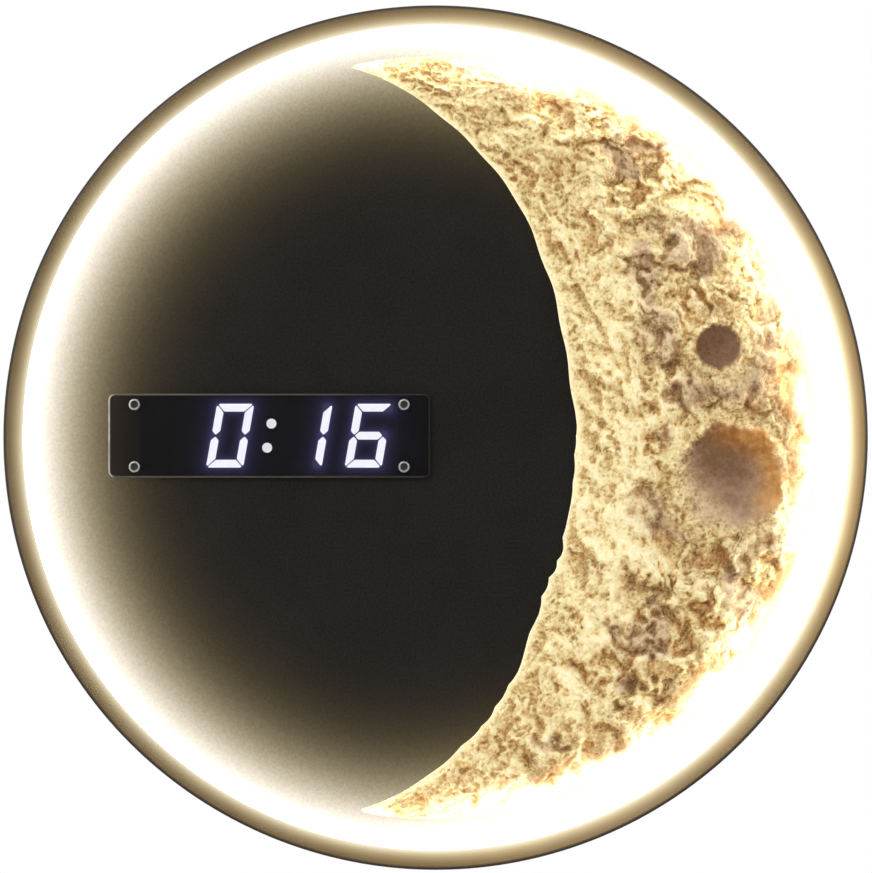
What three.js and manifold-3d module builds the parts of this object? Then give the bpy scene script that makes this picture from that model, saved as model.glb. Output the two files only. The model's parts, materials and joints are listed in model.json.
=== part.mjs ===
// LED wall clock: a black steel hoop and face panel, a cast crescent-moon relief lit by an LED ring
// along the hoop, and a four-digit LED time display behind a tinted lens.
// Millimetres. +Z is up, +X is to the viewer's right and the face looks along -Y.
// The origin is the centre of the rear cover's outer face, which lies against the wall at y = 0.
import * as THREE from "three";
import { mergeVertices } from "three/addons/utils/BufferGeometryUtils.js";
import Module from "manifold-3d";

const wasm = await Module();
wasm.setup();

// Driving dimensions: fits
const SEAT_GAP = 0.3; // between two pieces that rest on each other
const SLIDE_GAP = 0.2; // around a piece that slides in or passes through another
const CUT_PAST = 1; // how far a cutting form runs past the face that it opens

// Driving dimensions: hoop and light ring
const HOOP_RADIUS = 200;
const HOOP_DEPTH = 50;
const HOOP_WALL = 1.5;
const BEAD_RADIUS = 1.6;
const REFLECTOR_WIDTH = 7.3; // radial width of the sloping return behind the bead
const REFLECTOR_DEPTH = 11;
const REFLECTOR_WALL = 1.2;
const REAR_FLANGE_WIDTH = 20;
const PANEL_RECESS = 28; // from the hoop's front edge to the face panel
const PANEL_THICKNESS = 2;
const PANEL_CLEARANCE = 0.5;
const SPACER_WALL = 2;
const DIFFUSER_WIDTH = 15.2;
const DIFFUSER_HEIGHT = 14;
const DIFFUSER_WALL = 1.5;
const STRIP_WIDTH = 10;
const STRIP_THICKNESS = 0.5;
const LED_COUNT = 28;
const LED_LENGTH = 3.5;
const LED_WIDTH = 2.8;
const LED_HEIGHT = 0.8;
const STRIP_LEAD_INSET = 8; // from the hoop's inner wall to the hole for the strip's lead
const RING_SEGMENTS = 48;
const HOLE_SEGMENTS = 10;
const CORNER_SEGMENTS = 2;

// Driving dimensions: rear cover and its fixings
const COVER_THICKNESS = 1.5;
const COVER_OVERLAP = 8; // how far the cover reaches over the hoop's rear flange
const PILLAR_COUNT = 6;
const PILLAR_INSET = 15; // from the hoop's rear flange to the pillars' centres
const PILLAR_DIAMETER = 8;
const PILLAR_BORE_DEPTH = 10;
const COVER_SCREW_DIAMETER = 3;
const COVER_SCREW_HEAD = 5.6;
const COVER_SCREW_LENGTH = 9;
const SCREW_RECESS = 0.1; // a cover screw's head lies this far below the cover's face
const DRIVE_DIAMETER = 2.2;
const DRIVE_DEPTH = 0.7;
const KEYHOLE_SPACING = 120;
const KEYHOLE_HEIGHT = 105;
const KEYHOLE_ENTRY_DIAMETER = 9;
const KEYHOLE_SLOT_WIDTH = 4.6;
const KEYHOLE_SLOT_RISE = 10;
const HANGER_WIDTH = 26;
const HANGER_HEIGHT = 38;
const HANGER_THICKNESS = 2;
const HANGER_CORNER = 3;
const BUSH_X = 0;
const BUSH_Z = -60;
const BUSH_BORE = 7.5;
const BUSH_WALL = 2.2;
const BUSH_FLANGE_WIDTH = 2.6;
const BUSH_FLANGE_THICKNESS = 1.6;
const BUSH_RECESS = 0.2;

// Driving dimensions: crescent relief
const RELIEF_MARGIN = 6; // between the relief's limb and the diffuser
const TERMINATOR_REACH = 64.6; // the middle of the inner edge lies this far right of the clock's centre
const TERMINATOR_HALF_WIDTH = 128.2; // of the ellipse that the inner edge is part of
const HORN_ANGLE_DEG = 102.7; // from the crescent's middle to each horn
const RELIEF_TILT_DEG = 0.7;
const RELIEF_EDGE = 3;
const RELIEF_CROWN = 14;
const RELIEF_FLOOR = 2; // least thickness, at the bottom of a crater
const RELIEF_RISE = 42; // distance from the inner edge to the full crown
const LIMB_RISE = 30; // distance from the limb to the full crown
const EDGE_WOBBLE = 1.1;
const LIMB_WOBBLE = 2;
const LUMP_SIZE = 19;
const LUMP_HEIGHT = 5;
const EDGE_BAYS = [
  { height: -78, reach: 20, shift: -4 },
  { height: 105, reach: 18, shift: 2.4 },
]; // places where the inner edge strays further, by their height on the clock
const RIB_WIDTH = 16; // ribs that run along the inner edge
const RIB_LENGTH = 60;
const RIB_HEIGHT = 3.5;
const LANE_WIDTH = 10; // low ridges between the ribs
const LANE_STRETCH = 0.3; // their width against their length
const LANE_HEIGHT = 1.8;
const LANE_STRAY = 8;
const LANE_SLOPE = 0.12; // of the random field, from a ridge's top to its foot
const BAND_WIDTH = 28; // from the inner edge to where the broken rock begins
const BAND_FADE = 18;
const BAND_STRAY = 30;
const ROCK_STRAY = 20; // outlines in the rock stray by up to half of this to either side
const ROCK_STRAY_SIZE = 12;
const SHELF_SIZE = 24; // shelves of the broken rock
const SHELF_DROP = 4;
const SHELF_EDGE = [0.4, 0.55]; // of the random field, between which a shelf falls
const PLATE_SIZE = 17; // thin plates that lie on the shelves in steps
const PLATE_STEP = 2;
const PLATE_EDGES = [0.4, 0.49, 0.58]; // of the random field, at each of which a step rises
const PLATE_SLOPE = 0.022;
const FORM_EDGE = 4; // plates and low ridges fade out over this distance from the inner edge
const FORM_LIMB = 8; // and over this one from the limb
const FORM_HORN = [4, 30]; // and between these widths of the horns
const STRAY_SEED = 300; // places in the random field where each form's own hills lie
const PLATE_SEED = 700;
const SHELF_SEED = new THREE.Vector2(31, 47);
const HORN_TRIM = 0.006; // share of the crescent's length cut off each pointed end
const RELIEF_STEPS_ACROSS = 16;
const RELIEF_STEPS_ALONG = 60;
// Craters: place as shares across (inner edge to limb) and along (lower to upper horn).
// The two largest have a collar: a flat-floored pit and a round basin
const PIT = { across: 0.65, along: 0.571, radius: 10, wall: 3, skirt: 6, top: 17, floor: 5 };
const BASIN = { across: 0.65, along: 0.463, radius: 24, wall: 2, skirt: 7, top: 16, floor: 4.5 };
const CRATER_SEGMENTS = 20;
const CRATERS = [
  { across: 0.54, along: 0.807, radius: 13, depth: 6, lip: 1.5 },
  { across: 0.78, along: 0.728, radius: 6, depth: 5, lip: 1.2 },
  { across: 0.52, along: 0.669, radius: 13, depth: 6, lip: 1.6 },
  { across: 0.56, along: 0.733, radius: 7, depth: 5, lip: 1.1 },
  { across: 0.7, along: 0.641, radius: 10, depth: 5, lip: 1.4 },
  { across: 0.42, along: 0.359, radius: 14, depth: 6, lip: 1.6 },
  { across: 0.66, along: 0.394, radius: 17, depth: 5, lip: 1.4 },
  { across: 0.31, along: 0.277, radius: 7, depth: 5, lip: 1.2 },
  { across: 0.6, along: 0.279, radius: 9, depth: 5, lip: 1.3 },
  { across: 0.46, along: 0.201, radius: 6, depth: 4, lip: 1 },
];

// Driving dimensions: time display
const DISPLAY_Z = 0.9;
const LENS_MARGIN = 31.1; // from the diffuser's inner wall to the lens's left end
const LENS_WIDTH = 149.4;
const LENS_HEIGHT = 39;
const LENS_THICKNESS = 3;
const LENS_CORNER = 3;
const SCREW_SPACING_X = 125.1;
const SCREW_SPACING_Z = 28.9;
const LENS_SCREW_DIAMETER = 3;
const LENS_SCREW_HEAD = 5.5;
const LENS_SCREW_HEAD_HEIGHT = 2;
const LENS_SCREW_GRIP = 6; // thread engaged in the standoff
const HEX_SOCKET = 2.5;
const HEX_SOCKET_DEPTH = 1.2;
const STANDOFF_DIAMETER = 5.6;
const STANDOFF_SPIGOT = 3.4;
const DIGIT_WIDTH = 17.2;
const DIGIT_HEIGHT = 29.6;
const DIGIT_PITCH = 27.9;
const COLON_PITCH = 36.4; // between the two digits beside the colon
const DIGIT_SLANT_DEG = 10;
const SEGMENT_WIDTH = 3.6;
const SEGMENT_GAP = 0.6;
const SEGMENT_CORNER = 1.2;
const COLON_DOT_DIAMETER = 4.6;
const COLON_DOT_SPACING = 11.2;
const BLOCK_MARGIN_X = 2; // from the outermost segments to the block's ends
const BLOCK_MARGIN_Z = 2.2;
const BLOCK_DEPTH = 11;
const BLOCK_FACE = 5;
const BLOCK_WALL = 1;
const BLOCK_CORNER = 1;
const GUIDE_CORNER = 0.8;
const GUIDE_BASE = 2;
const GUIDE_MARGIN = 0.7; // how far a light guide's base reaches past its segments
const WINDOW_CLEARANCE = 0.4;

// Driving dimensions: clock board and its parts
const BOARD_MARGIN = 4; // from the standoffs' centres to the board's edges
const BOARD_THICKNESS = 1.6;
const BOARD_CORNER = 2;
const SWITCH_SIZE = 6;
const SWITCH_HEIGHT = 3.5;
const SWITCH_TOP = 0.7;
const SWITCH_BOTTOM = 0.5;
const SWITCH_WELL_DIAMETER = 5;
const BUTTON_DIAMETER = 3.4;
const BUTTON_FLANGE_DIAMETER = 4.4;
const BUTTON_FLANGE = 0.8;
const BUTTON_RECESS = 0.6; // the button's tip stays below the cover's face
const BUTTON_SPACING = 14;
const BUTTON_Z = -10; // below the display's centre
const COVER_BUTTON_HOLE = 4.8;
const CHIP_SIZE = [13, 2.4, 7.6];
const CHIP_X = -42;
const CHIP_Z = 6;
const CRYSTAL_LENGTH = 10.5;
const CRYSTAL_DIAMETER = 3.6;
const CRYSTAL_X = -42;
const CRYSTAL_Z = -7;
const CELL_DIAMETER = 20;
const CELL_THICKNESS = 3.2;
const HOLDER_WALL = 1.2;
const HOLDER_FLOOR = 0.8;
const HOLDER_MOUTH = 14; // width of the opening in the holder's wall
const CELL_X = 34;
const CELL_Z = 0;
const SOCKET_SIZE = [8, 5.6, 9];
const SOCKET_WALL = 1.2;
const SOCKET_X = 56;
const SOCKET_Z = -1;

// Driving dimensions: power supply
const DRIVER_LENGTH = 104;
const DRIVER_HEIGHT = 42;
const DRIVER_DEPTH = 14;
const DRIVER_CORNER = 3;
const DRIVER_WALL = 2;
const DRIVER_LID_THICKNESS = 1.6;
const DRIVER_EAR = 9;
const DRIVER_EAR_THICKNESS = 2.5;
const DRIVER_X = 72;
const DRIVER_Z = -10;
const DRIVER_SCREW_DIAMETER = 3;
const DRIVER_SCREW_HEAD = 5.5;
const DRIVER_SCREW_HEAD_HEIGHT = 2;
const TERMINAL_WAYS = 3;
const TERMINAL_PITCH = 9;
const TERMINAL_HEIGHT = 17;
const TERMINAL_DEPTH = 12;
const TERMINAL_BORE = 3.6;
const TERMINAL_X = 48;
const TERMINAL_Z = -62;
const LEAD_DIAMETER = 2.4;
const LEAD_SIDES = 8;
const LEAD_STEP = 6;

// Depth stations, from the wall towards the viewer
const coverInner = -COVER_THICKNESS;
const flangeRear = coverInner - SEAT_GAP;
const flangeFront = flangeRear - HOOP_WALL;
const hoopFront = -HOOP_DEPTH;
const panelFront = hoopFront + PANEL_RECESS;
const panelRear = panelFront + PANEL_THICKNESS;
const facePlane = panelFront - SEAT_GAP; // what stands on the panel starts here
const behindPanel = panelRear + SEAT_GAP; // what sits against the panel's back starts here
const insideCover = coverInner - SEAT_GAP; // what sits inside the cover starts here

// Radii shared by the pieces that nest in the hoop
const hoopInner = HOOP_RADIUS - HOOP_WALL;
const panelRadius = hoopInner - PANEL_CLEARANCE;
const flangeInner = HOOP_RADIUS - REAR_FLANGE_WIDTH;
const diffuserOuter = hoopInner - SEAT_GAP;
const diffuserInner = diffuserOuter - DIFFUSER_WIDTH;
const reliefRadius = diffuserInner - RELIEF_MARGIN;
const displayX = LENS_MARGIN + LENS_WIDTH / 2 - diffuserInner;

const radians = THREE.MathUtils.degToRad;

// Solids: conversions and the three ways that pieces are made
function solidOf(geometry) {
  const bare = geometry.clone();
  bare.deleteAttribute("normal");
  bare.deleteAttribute("uv");
  const merged = mergeVertices(bare, 1e-4);
  const triVerts = new Uint32Array(merged.index.array);
  const vertProperties = merged.getAttribute("position").array;
  const made = new wasm.Manifold(new wasm.Mesh({ numProp: 3, vertProperties, triVerts }));
  if (made.volume() >= 0) return made;
  const turned = triVerts.map((_, i) => triVerts[i - (i % 3) + [0, 2, 1][i % 3]]);
  return new wasm.Manifold(new wasm.Mesh({ numProp: 3, vertProperties, triVerts: turned }));
}

function geometryOf(solid) {
  const mesh = solid.getMesh();
  const geometry = new THREE.BufferGeometry();
  geometry.setAttribute("position", new THREE.BufferAttribute(mesh.vertProperties, mesh.numProp));
  geometry.setIndex(new THREE.BufferAttribute(mesh.triVerts, 1));
  geometry.computeVertexNormals();
  return geometry;
}

const closed = (geometry) => geometryOf(solidOf(geometry));
const join = (first, ...more) =>
  geometryOf(more.reduce((sum, next) => sum.add(solidOf(next)), solidOf(first)));
const cut = (first, ...tools) =>
  geometryOf(tools.reduce((rest, tool) => rest.subtract(solidOf(tool)), solidOf(first)));

// A flat plate of an outline drawn in X and Z, between two depth stations
function plate(outline, front, rear, arcSegments = HOLE_SEGMENTS) {
  const geometry = new THREE.ExtrudeGeometry(outline, {
    depth: rear - front,
    bevelEnabled: false,
    curveSegments: arcSegments / 2,
  });
  return geometry.rotateX(Math.PI / 2).translate(0, rear, 0);
}

// A closed profile of radius and depth, turned about the Y axis
function turned(profile, segments = RING_SEGMENTS) {
  return closed(new THREE.LatheGeometry(profile, segments));
}

// A round bar or boring tool along Y, between two depth stations
function bar(diameter, front, rear, segments = HOLE_SEGMENTS, x = 0, z = 0) {
  const geometry = new THREE.CylinderGeometry(diameter / 2, diameter / 2, rear - front, segments);
  return geometry.translate(x, (front + rear) / 2, z);
}

function block([width, depth, height], x = 0, y = 0, z = 0) {
  return new THREE.BoxGeometry(width, depth, height).translate(x, y, z);
}

function circle(radius, x = 0, z = 0) {
  return new THREE.Shape().absarc(x, z, radius, 0, 2 * Math.PI, false);
}

function roundedRectangle(width, height, corner) {
  const [x, z] = [width / 2 - corner, height / 2 - corner];
  return new THREE.Shape()
    .absarc(x, z, corner, 0, Math.PI / 2, false)
    .absarc(-x, z, corner, Math.PI / 2, Math.PI, false)
    .absarc(-x, -z, corner, Math.PI, 1.5 * Math.PI, false)
    .absarc(x, -z, corner, 1.5 * Math.PI, 2 * Math.PI, false);
}

function finish(color, roughness, metalness = 0) {
  return new THREE.MeshStandardMaterial({ color, roughness, metalness });
}

const finishes = {
  hoop: finish(0x2e261c, 0.45, 0.6),
  panel: finish(0x262423, 0.7),
  cover: finish(0x1d1c1b, 0.6, 0.3),
  relief: finish(0xd8bd8c, 0.9),
  diffuser: finish(0xfff6e4, 0.5),
  strip: finish(0xf4f1e6, 0.5),
  lens: finish(0x141214, 0.1),
  steel: finish(0xb9babd, 0.3, 1),
  blackPlastic: finish(0x17171a, 0.5),
  lightGuide: finish(0xf2f4ff, 0.4),
  board: finish(0x1c4a2b, 0.5),
  brass: finish(0xb08d4f, 0.35, 1),
  whitePlastic: finish(0xe6e4dc, 0.5),
  rubber: finish(0x1a1a1a, 0.85),
};

function piece(parent, name, geometry, material, x = 0, y = 0, z = 0) {
  const mesh = new THREE.Mesh(geometry, material);
  mesh.name = name;
  mesh.position.set(x, y, z);
  parent.add(mesh);
  return mesh;
}

function group(parent, x = 0, y = 0, z = 0) {
  const made = new THREE.Group();
  made.position.set(x, y, z);
  parent.add(made);
  return made;
}

const clock = new THREE.Group();

// Hoop: a rolled steel band with a beaded front edge, a sloping return inside it and a flange at the rear
function hoopProfile() {
  const beadCentre = HOOP_RADIUS - BEAD_RADIUS;
  const slope = new THREE.Vector2(-REFLECTOR_WIDTH, REFLECTOR_DEPTH);
  const inward = slope.clone().normalize();
  const backing = new THREE.Vector2(inward.y, -inward.x).multiplyScalar(REFLECTOR_WALL);
  const slopeStart = new THREE.Vector2(beadCentre, hoopFront);
  const slopeEnd = slopeStart.clone().add(slope);
  const backEnd = slopeEnd.clone().add(backing);
  const backAtWall = backEnd.y - (hoopInner - backEnd.x) * (REFLECTOR_DEPTH / REFLECTOR_WIDTH);
  return new THREE.Path()
    .moveTo(flangeInner, flangeRear)
    .lineTo(HOOP_RADIUS - HOOP_WALL, flangeRear)
    .absarc(HOOP_RADIUS - HOOP_WALL, flangeFront, HOOP_WALL, Math.PI / 2, 0, true)
    .lineTo(HOOP_RADIUS, hoopFront + BEAD_RADIUS)
    .absarc(beadCentre, hoopFront + BEAD_RADIUS, BEAD_RADIUS, 0, -Math.PI / 2, true)
    .lineTo(slopeEnd.x, slopeEnd.y)
    .lineTo(backEnd.x, backEnd.y)
    .lineTo(hoopInner, backAtWall)
    .lineTo(hoopInner, flangeFront)
    .lineTo(flangeInner, flangeFront)
    .lineTo(flangeInner, flangeRear)
    .getPoints(1);
}
piece(clock, "rim_hoop", turned(hoopProfile()), finishes.hoop);

// The hole for the strip's lead, near the panel's edge and hidden by the diffuser.
// It lies at the strip's opening, which is one of the ring's facets wide
const ringFacet = (2 * Math.PI) / RING_SEGMENTS;
const leadAngle = -ringFacet / 2;
const leadHoleRadius = hoopInner - STRIP_LEAD_INSET;
const leadHole = [leadHoleRadius * Math.cos(leadAngle), leadHoleRadius * Math.sin(leadAngle)];
const leadHoleDiameter = LEAD_DIAMETER + 2 * WINDOW_CLEARANCE;

// Spacer: a rolled band that holds the face panel off the hoop's rear flange
function spacerProfile() {
  const [outer, inner] = [panelRadius, panelRadius - SPACER_WALL];
  const [front, rear] = [behindPanel, flangeFront - SEAT_GAP];
  return [
    [outer, rear],
    [outer, front],
    [inner, front],
    [inner, rear],
    [outer, rear],
  ].map(([r, y]) => new THREE.Vector2(r, y));
}
piece(clock, "spacer_ring", turned(spacerProfile()), finishes.cover);

// Display geometry that the panel's window, the block and the light guides share
const slantShift = (z) => z * Math.tan(radians(DIGIT_SLANT_DEG));
const digitCentres = [-1.5, -0.5, 0.5, 1.5].map(
  (place) => place * DIGIT_PITCH + Math.sign(place) * ((COLON_PITCH - DIGIT_PITCH) / 2),
);
const digitReach = DIGIT_WIDTH / 2 + slantShift(DIGIT_HEIGHT / 2);
const blockWidth = 2 * (digitCentres[3] + digitReach + BLOCK_MARGIN_X);
const blockHeight = DIGIT_HEIGHT + 2 * BLOCK_MARGIN_Z;
const cornerPlaces = [
  [-1, 1],
  [1, 1],
  [1, -1],
  [-1, -1],
].map(([sx, sz]) => [(sx * SCREW_SPACING_X) / 2, (sz * SCREW_SPACING_Z) / 2]);

// Face panel: a flat steel disc with the display's window, screw holes and a hole for the strip's lead
function facePanel() {
  const outline = circle(panelRadius);
  const disc = plate(outline, panelFront, panelRear, RING_SEGMENTS);
  const through = [panelFront - CUT_PAST, panelRear + CUT_PAST];
  const window = plate(
    roundedRectangle(blockWidth + 2 * WINDOW_CLEARANCE, blockHeight + 2 * WINDOW_CLEARANCE, BLOCK_CORNER),
    ...through,
    CORNER_SEGMENTS,
  ).translate(displayX, 0, DISPLAY_Z);
  const screwHoles = cornerPlaces.map(([x, z]) =>
    bar(LENS_SCREW_DIAMETER + 2 * SLIDE_GAP, ...through, HOLE_SEGMENTS, displayX + x, DISPLAY_Z + z),
  );
  return cut(disc, window, ...screwHoles, bar(leadHoleDiameter, ...through, HOLE_SEGMENTS, ...leadHole));
}
piece(clock, "face_panel", facePanel(), finishes.panel);

// Light ring: an opal channel around the panel's edge, open towards the LED strip on the hoop's wall
const diffuserFront = facePlane - DIFFUSER_HEIGHT;

function lightDiffuser() {
  const inside = diffuserInner + DIFFUSER_WALL;
  const corner = DIFFUSER_WALL;
  const profile = new THREE.Path()
    .moveTo(diffuserOuter, facePlane)
    .lineTo(diffuserInner, facePlane)
    .lineTo(diffuserInner, diffuserFront + corner)
    .absarc(diffuserInner + corner, diffuserFront + corner, corner, Math.PI, 1.5 * Math.PI, false)
    .lineTo(diffuserOuter, diffuserFront)
    .lineTo(diffuserOuter, diffuserFront + DIFFUSER_WALL)
    .lineTo(inside, diffuserFront + DIFFUSER_WALL)
    .lineTo(inside, facePlane - DIFFUSER_WALL)
    .lineTo(diffuserOuter, facePlane - DIFFUSER_WALL)
    .lineTo(diffuserOuter, facePlane)
    .getPoints(1);
  const leadNotch = bar(
    leadHoleDiameter,
    facePlane - DIFFUSER_WALL - CUT_PAST,
    facePlane + CUT_PAST,
    HOLE_SEGMENTS,
    ...leadHole,
  );
  return cut(turned(profile), leadNotch);
}
piece(clock, "light_diffuser", lightDiffuser(), finishes.diffuser);

// LED strip: a flexible band with a row of packages, bonded inside the hoop behind the diffuser
const stripOuter = hoopInner - SEAT_GAP;
const stripInner = stripOuter - STRIP_THICKNESS;
const stripMiddle = facePlane - DIFFUSER_HEIGHT / 2;

function ledStrip() {
  const start = leadAngle + ringFacet / 2;
  const end = leadAngle + 2 * Math.PI - ringFacet / 2;
  const outline = new THREE.Shape()
    .absarc(0, 0, stripOuter, start, end, false)
    .absarc(0, 0, stripInner, end, start, true);
  const band = plate(
    outline,
    stripMiddle - STRIP_WIDTH / 2,
    stripMiddle + STRIP_WIDTH / 2,
    RING_SEGMENTS - 1,
  );
  const pitch = (end - start) / LED_COUNT;
  const packages = Array.from({ length: LED_COUNT }, (_, i) =>
    block(
      [LED_HEIGHT + STRIP_THICKNESS / 2, LED_WIDTH, LED_LENGTH],
      stripInner - LED_HEIGHT / 2 + STRIP_THICKNESS / 4,
      stripMiddle,
    ).rotateY(-(start + (i + 0.5) * pitch)),
  );
  return join(band, ...packages);
}
piece(clock, "led_strip", ledStrip(), finishes.strip);

// Crescent relief: a cast slab with a crowned top of lumps, ribs, broken shelves, plates and craters
const limbHalfAngle = radians(HORN_ANGLE_DEG);
const [hornX, hornZ] = [reliefRadius * Math.cos(limbHalfAngle), reliefRadius * Math.sin(limbHalfAngle)];
const terminatorX = TERMINATOR_REACH - TERMINATOR_HALF_WIDTH;
const terminatorHalfAngle = Math.acos((hornX - terminatorX) / TERMINATOR_HALF_WIDTH);
const terminatorHalfHeight = hornZ / Math.sin(terminatorHalfAngle);
const limbLength = 2 * limbHalfAngle * reliefRadius;

function crescentEdges(along) {
  const sweep = 2 * along - 1;
  const fade = Math.sin(Math.PI * along);
  const innerWobble = 0.6 * Math.sin(41 * along) + 0.4 * Math.sin(97 * along + 2);
  const limbWobble = 0.5 * Math.sin(29 * along + 1) + 0.5 * Math.sin(67 * along) - 1;
  const level = terminatorHalfHeight * Math.sin(sweep * terminatorHalfAngle);
  let stray = EDGE_WOBBLE * fade * innerWobble;
  for (const { height, reach, shift } of EDGE_BAYS) {
    stray += shift * Math.exp(-(((level - height) / reach) ** 2));
  }
  const limb = reliefRadius + LIMB_WOBBLE * fade * limbWobble;
  const at = (angle, width, height) => new THREE.Vector2(Math.cos(angle) * width, Math.sin(angle) * height);
  const inner = at(sweep * terminatorHalfAngle, TERMINATOR_HALF_WIDTH + stray, terminatorHalfHeight + stray);
  return {
    inner: inner.add(new THREE.Vector2(terminatorX, 0)),
    limb: at(sweep * limbHalfAngle, limb, limb),
  };
}

function crescentPoint(across, along) {
  const { inner, limb } = crescentEdges(along);
  return inner.lerp(limb, across);
}

// Smooth random field between 0 and 1, one value for each whole step
function lattice(i, j) {
  const mixed = Math.sin(i * 12.9898 + j * 78.233) * 43758.5453;
  return mixed - Math.floor(mixed);
}

function smoothField(x, z) {
  const [i, j] = [Math.floor(x), Math.floor(z)];
  const [u, v] = [x - i, z - j].map((t) => t * t * (3 - 2 * t));
  const lower = THREE.MathUtils.lerp(lattice(i, j), lattice(i + 1, j), u);
  const upper = THREE.MathUtils.lerp(lattice(i, j + 1), lattice(i + 1, j + 1), u);
  return THREE.MathUtils.lerp(lower, upper, v);
}

// Ever finer fields added up, each turned and moved against the one before so that no grid shows
const clockCentre = new THREE.Vector2(0, 0);
const [LAYER_START, LAYER_TURN, LAYER_RATIO] = [0.4, 0.6, 2.03];
const LAYER_SHIFT = new THREE.Vector2(17.3, -9.1);

function layeredField(x, z, size, layers) {
  let [total, weights, weight, step] = [0, 0, 1, size];
  for (let layer = 0; layer < layers; layer++) {
    const place = new THREE.Vector2(x, z).rotateAround(clockCentre, LAYER_START + LAYER_TURN * layer);
    place.divideScalar(step).addScaledVector(LAYER_SHIFT, layer);
    total += weight * smoothField(place.x, place.y);
    weights += weight;
    weight /= 2;
    step /= LAYER_RATIO;
  }
  return total / weights;
}

const craters = CRATERS.map((crater) => ({
  ...crater,
  centre: crescentPoint(crater.across, crater.along),
}));

function reliefHeight(across, along) {
  const { smoothstep } = THREE.MathUtils;
  const { inner, limb } = crescentEdges(along);
  const width = inner.distanceTo(limb);
  const point = inner.lerp(limb, across);
  const [fromInner, fromLimb, run] = [across * width, (1 - across) * width, along * limbLength];
  const crown =
    smoothstep(fromInner, -RELIEF_RISE / 3, RELIEF_RISE) * smoothstep(fromLimb, -LIMB_RISE / 3, LIMB_RISE);
  const sway = layeredField(point.x + STRAY_SEED, point.y, ROCK_STRAY_SIZE, 3) - 0.5;
  const swing = layeredField(point.x, point.y + STRAY_SEED, ROCK_STRAY_SIZE, 3) - 0.5;
  const strayed = new THREE.Vector2(sway, swing).multiplyScalar(ROCK_STRAY).add(point);
  const coarse = smoothField(point.x / LUMP_SIZE, point.y / LUMP_SIZE);
  const fine = smoothField((2 * point.x) / LUMP_SIZE, (2 * point.y) / LUMP_SIZE);
  let height = RELIEF_EDGE + (RELIEF_CROWN - RELIEF_EDGE) * crown;
  height += LUMP_HEIGHT * crown * (1.3 * coarse + 0.7 * fine - 0.6);
  height += RIB_HEIGHT * crown * (smoothField(fromInner / RIB_WIDTH, run / RIB_LENGTH) - 0.5);
  const rocky = smoothstep(fromInner + BAND_STRAY * sway, BAND_WIDTH, BAND_WIDTH + BAND_FADE);
  const shelf = smoothField(strayed.x / SHELF_SIZE + SHELF_SEED.x, strayed.y / SHELF_SIZE + SHELF_SEED.y);
  height -= SHELF_DROP * crown * rocky * (1 - smoothstep(shelf, ...SHELF_EDGE));
  for (const { centre, radius, depth, lip } of craters) {
    const distance = strayed.distanceTo(centre) / radius;
    if (distance < 1) height -= depth * (1 - distance ** 2);
    height += lip * Math.exp(-(((distance - 1.1) / 0.22) ** 2)) * crown;
  }
  const clear = smoothstep(fromInner, 0, FORM_EDGE) * smoothstep(fromLimb, 0, FORM_LIMB);
  const body = clear * smoothstep(width, ...FORM_HORN);
  const plates = layeredField(strayed.x + PLATE_SEED, strayed.y, PLATE_SIZE, 3);
  const steps = PLATE_EDGES.map((level) => smoothstep(plates, level, level + PLATE_SLOPE) - 0.5);
  height += PLATE_STEP * body * rocky * steps.reduce((total, step) => total + step);
  const lane = layeredField(fromInner + LANE_STRAY * swing, LANE_STRETCH * run, LANE_WIDTH, 2);
  const ridge = 0.5 - Math.min(Math.abs(lane - 0.5) / LANE_SLOPE, 1);
  height += LANE_HEIGHT * body * (1 - 0.6 * rocky) * ridge;
  return Math.max(height, RELIEF_FLOOR);
}

// A crater's collar: a flat-topped cone that rises out of the field around it
function craterCollar({ across, along, radius, wall, skirt, top }) {
  const { x, y: z } = crescentPoint(across, along);
  const [foot, height] = [RELIEF_FLOOR, top - RELIEF_FLOOR];
  const collar = new THREE.CylinderGeometry(
    radius + wall + skirt,
    radius + wall,
    height,
    CRATER_SEGMENTS,
  );
  return collar.translate(x, facePlane - foot - height / 2, z);
}

function pitBore() {
  const { x, y: z } = crescentPoint(PIT.across, PIT.along);
  return bar(2 * PIT.radius, facePlane - PIT.top - CUT_PAST, facePlane - PIT.floor, CRATER_SEGMENTS, x, z);
}

// The basin's bowl: the sphere through its rim and the lowest point of its floor
function basinBowl() {
  const { x, y: z } = crescentPoint(BASIN.across, BASIN.along);
  const depth = BASIN.top - BASIN.floor;
  const sphereRadius = (BASIN.radius ** 2 + depth ** 2) / (2 * depth);
  const bowl = new THREE.SphereGeometry(sphereRadius, CRATER_SEGMENTS, CRATER_SEGMENTS / 2);
  return bowl.translate(x, facePlane - BASIN.floor - sphereRadius, z);
}

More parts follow.
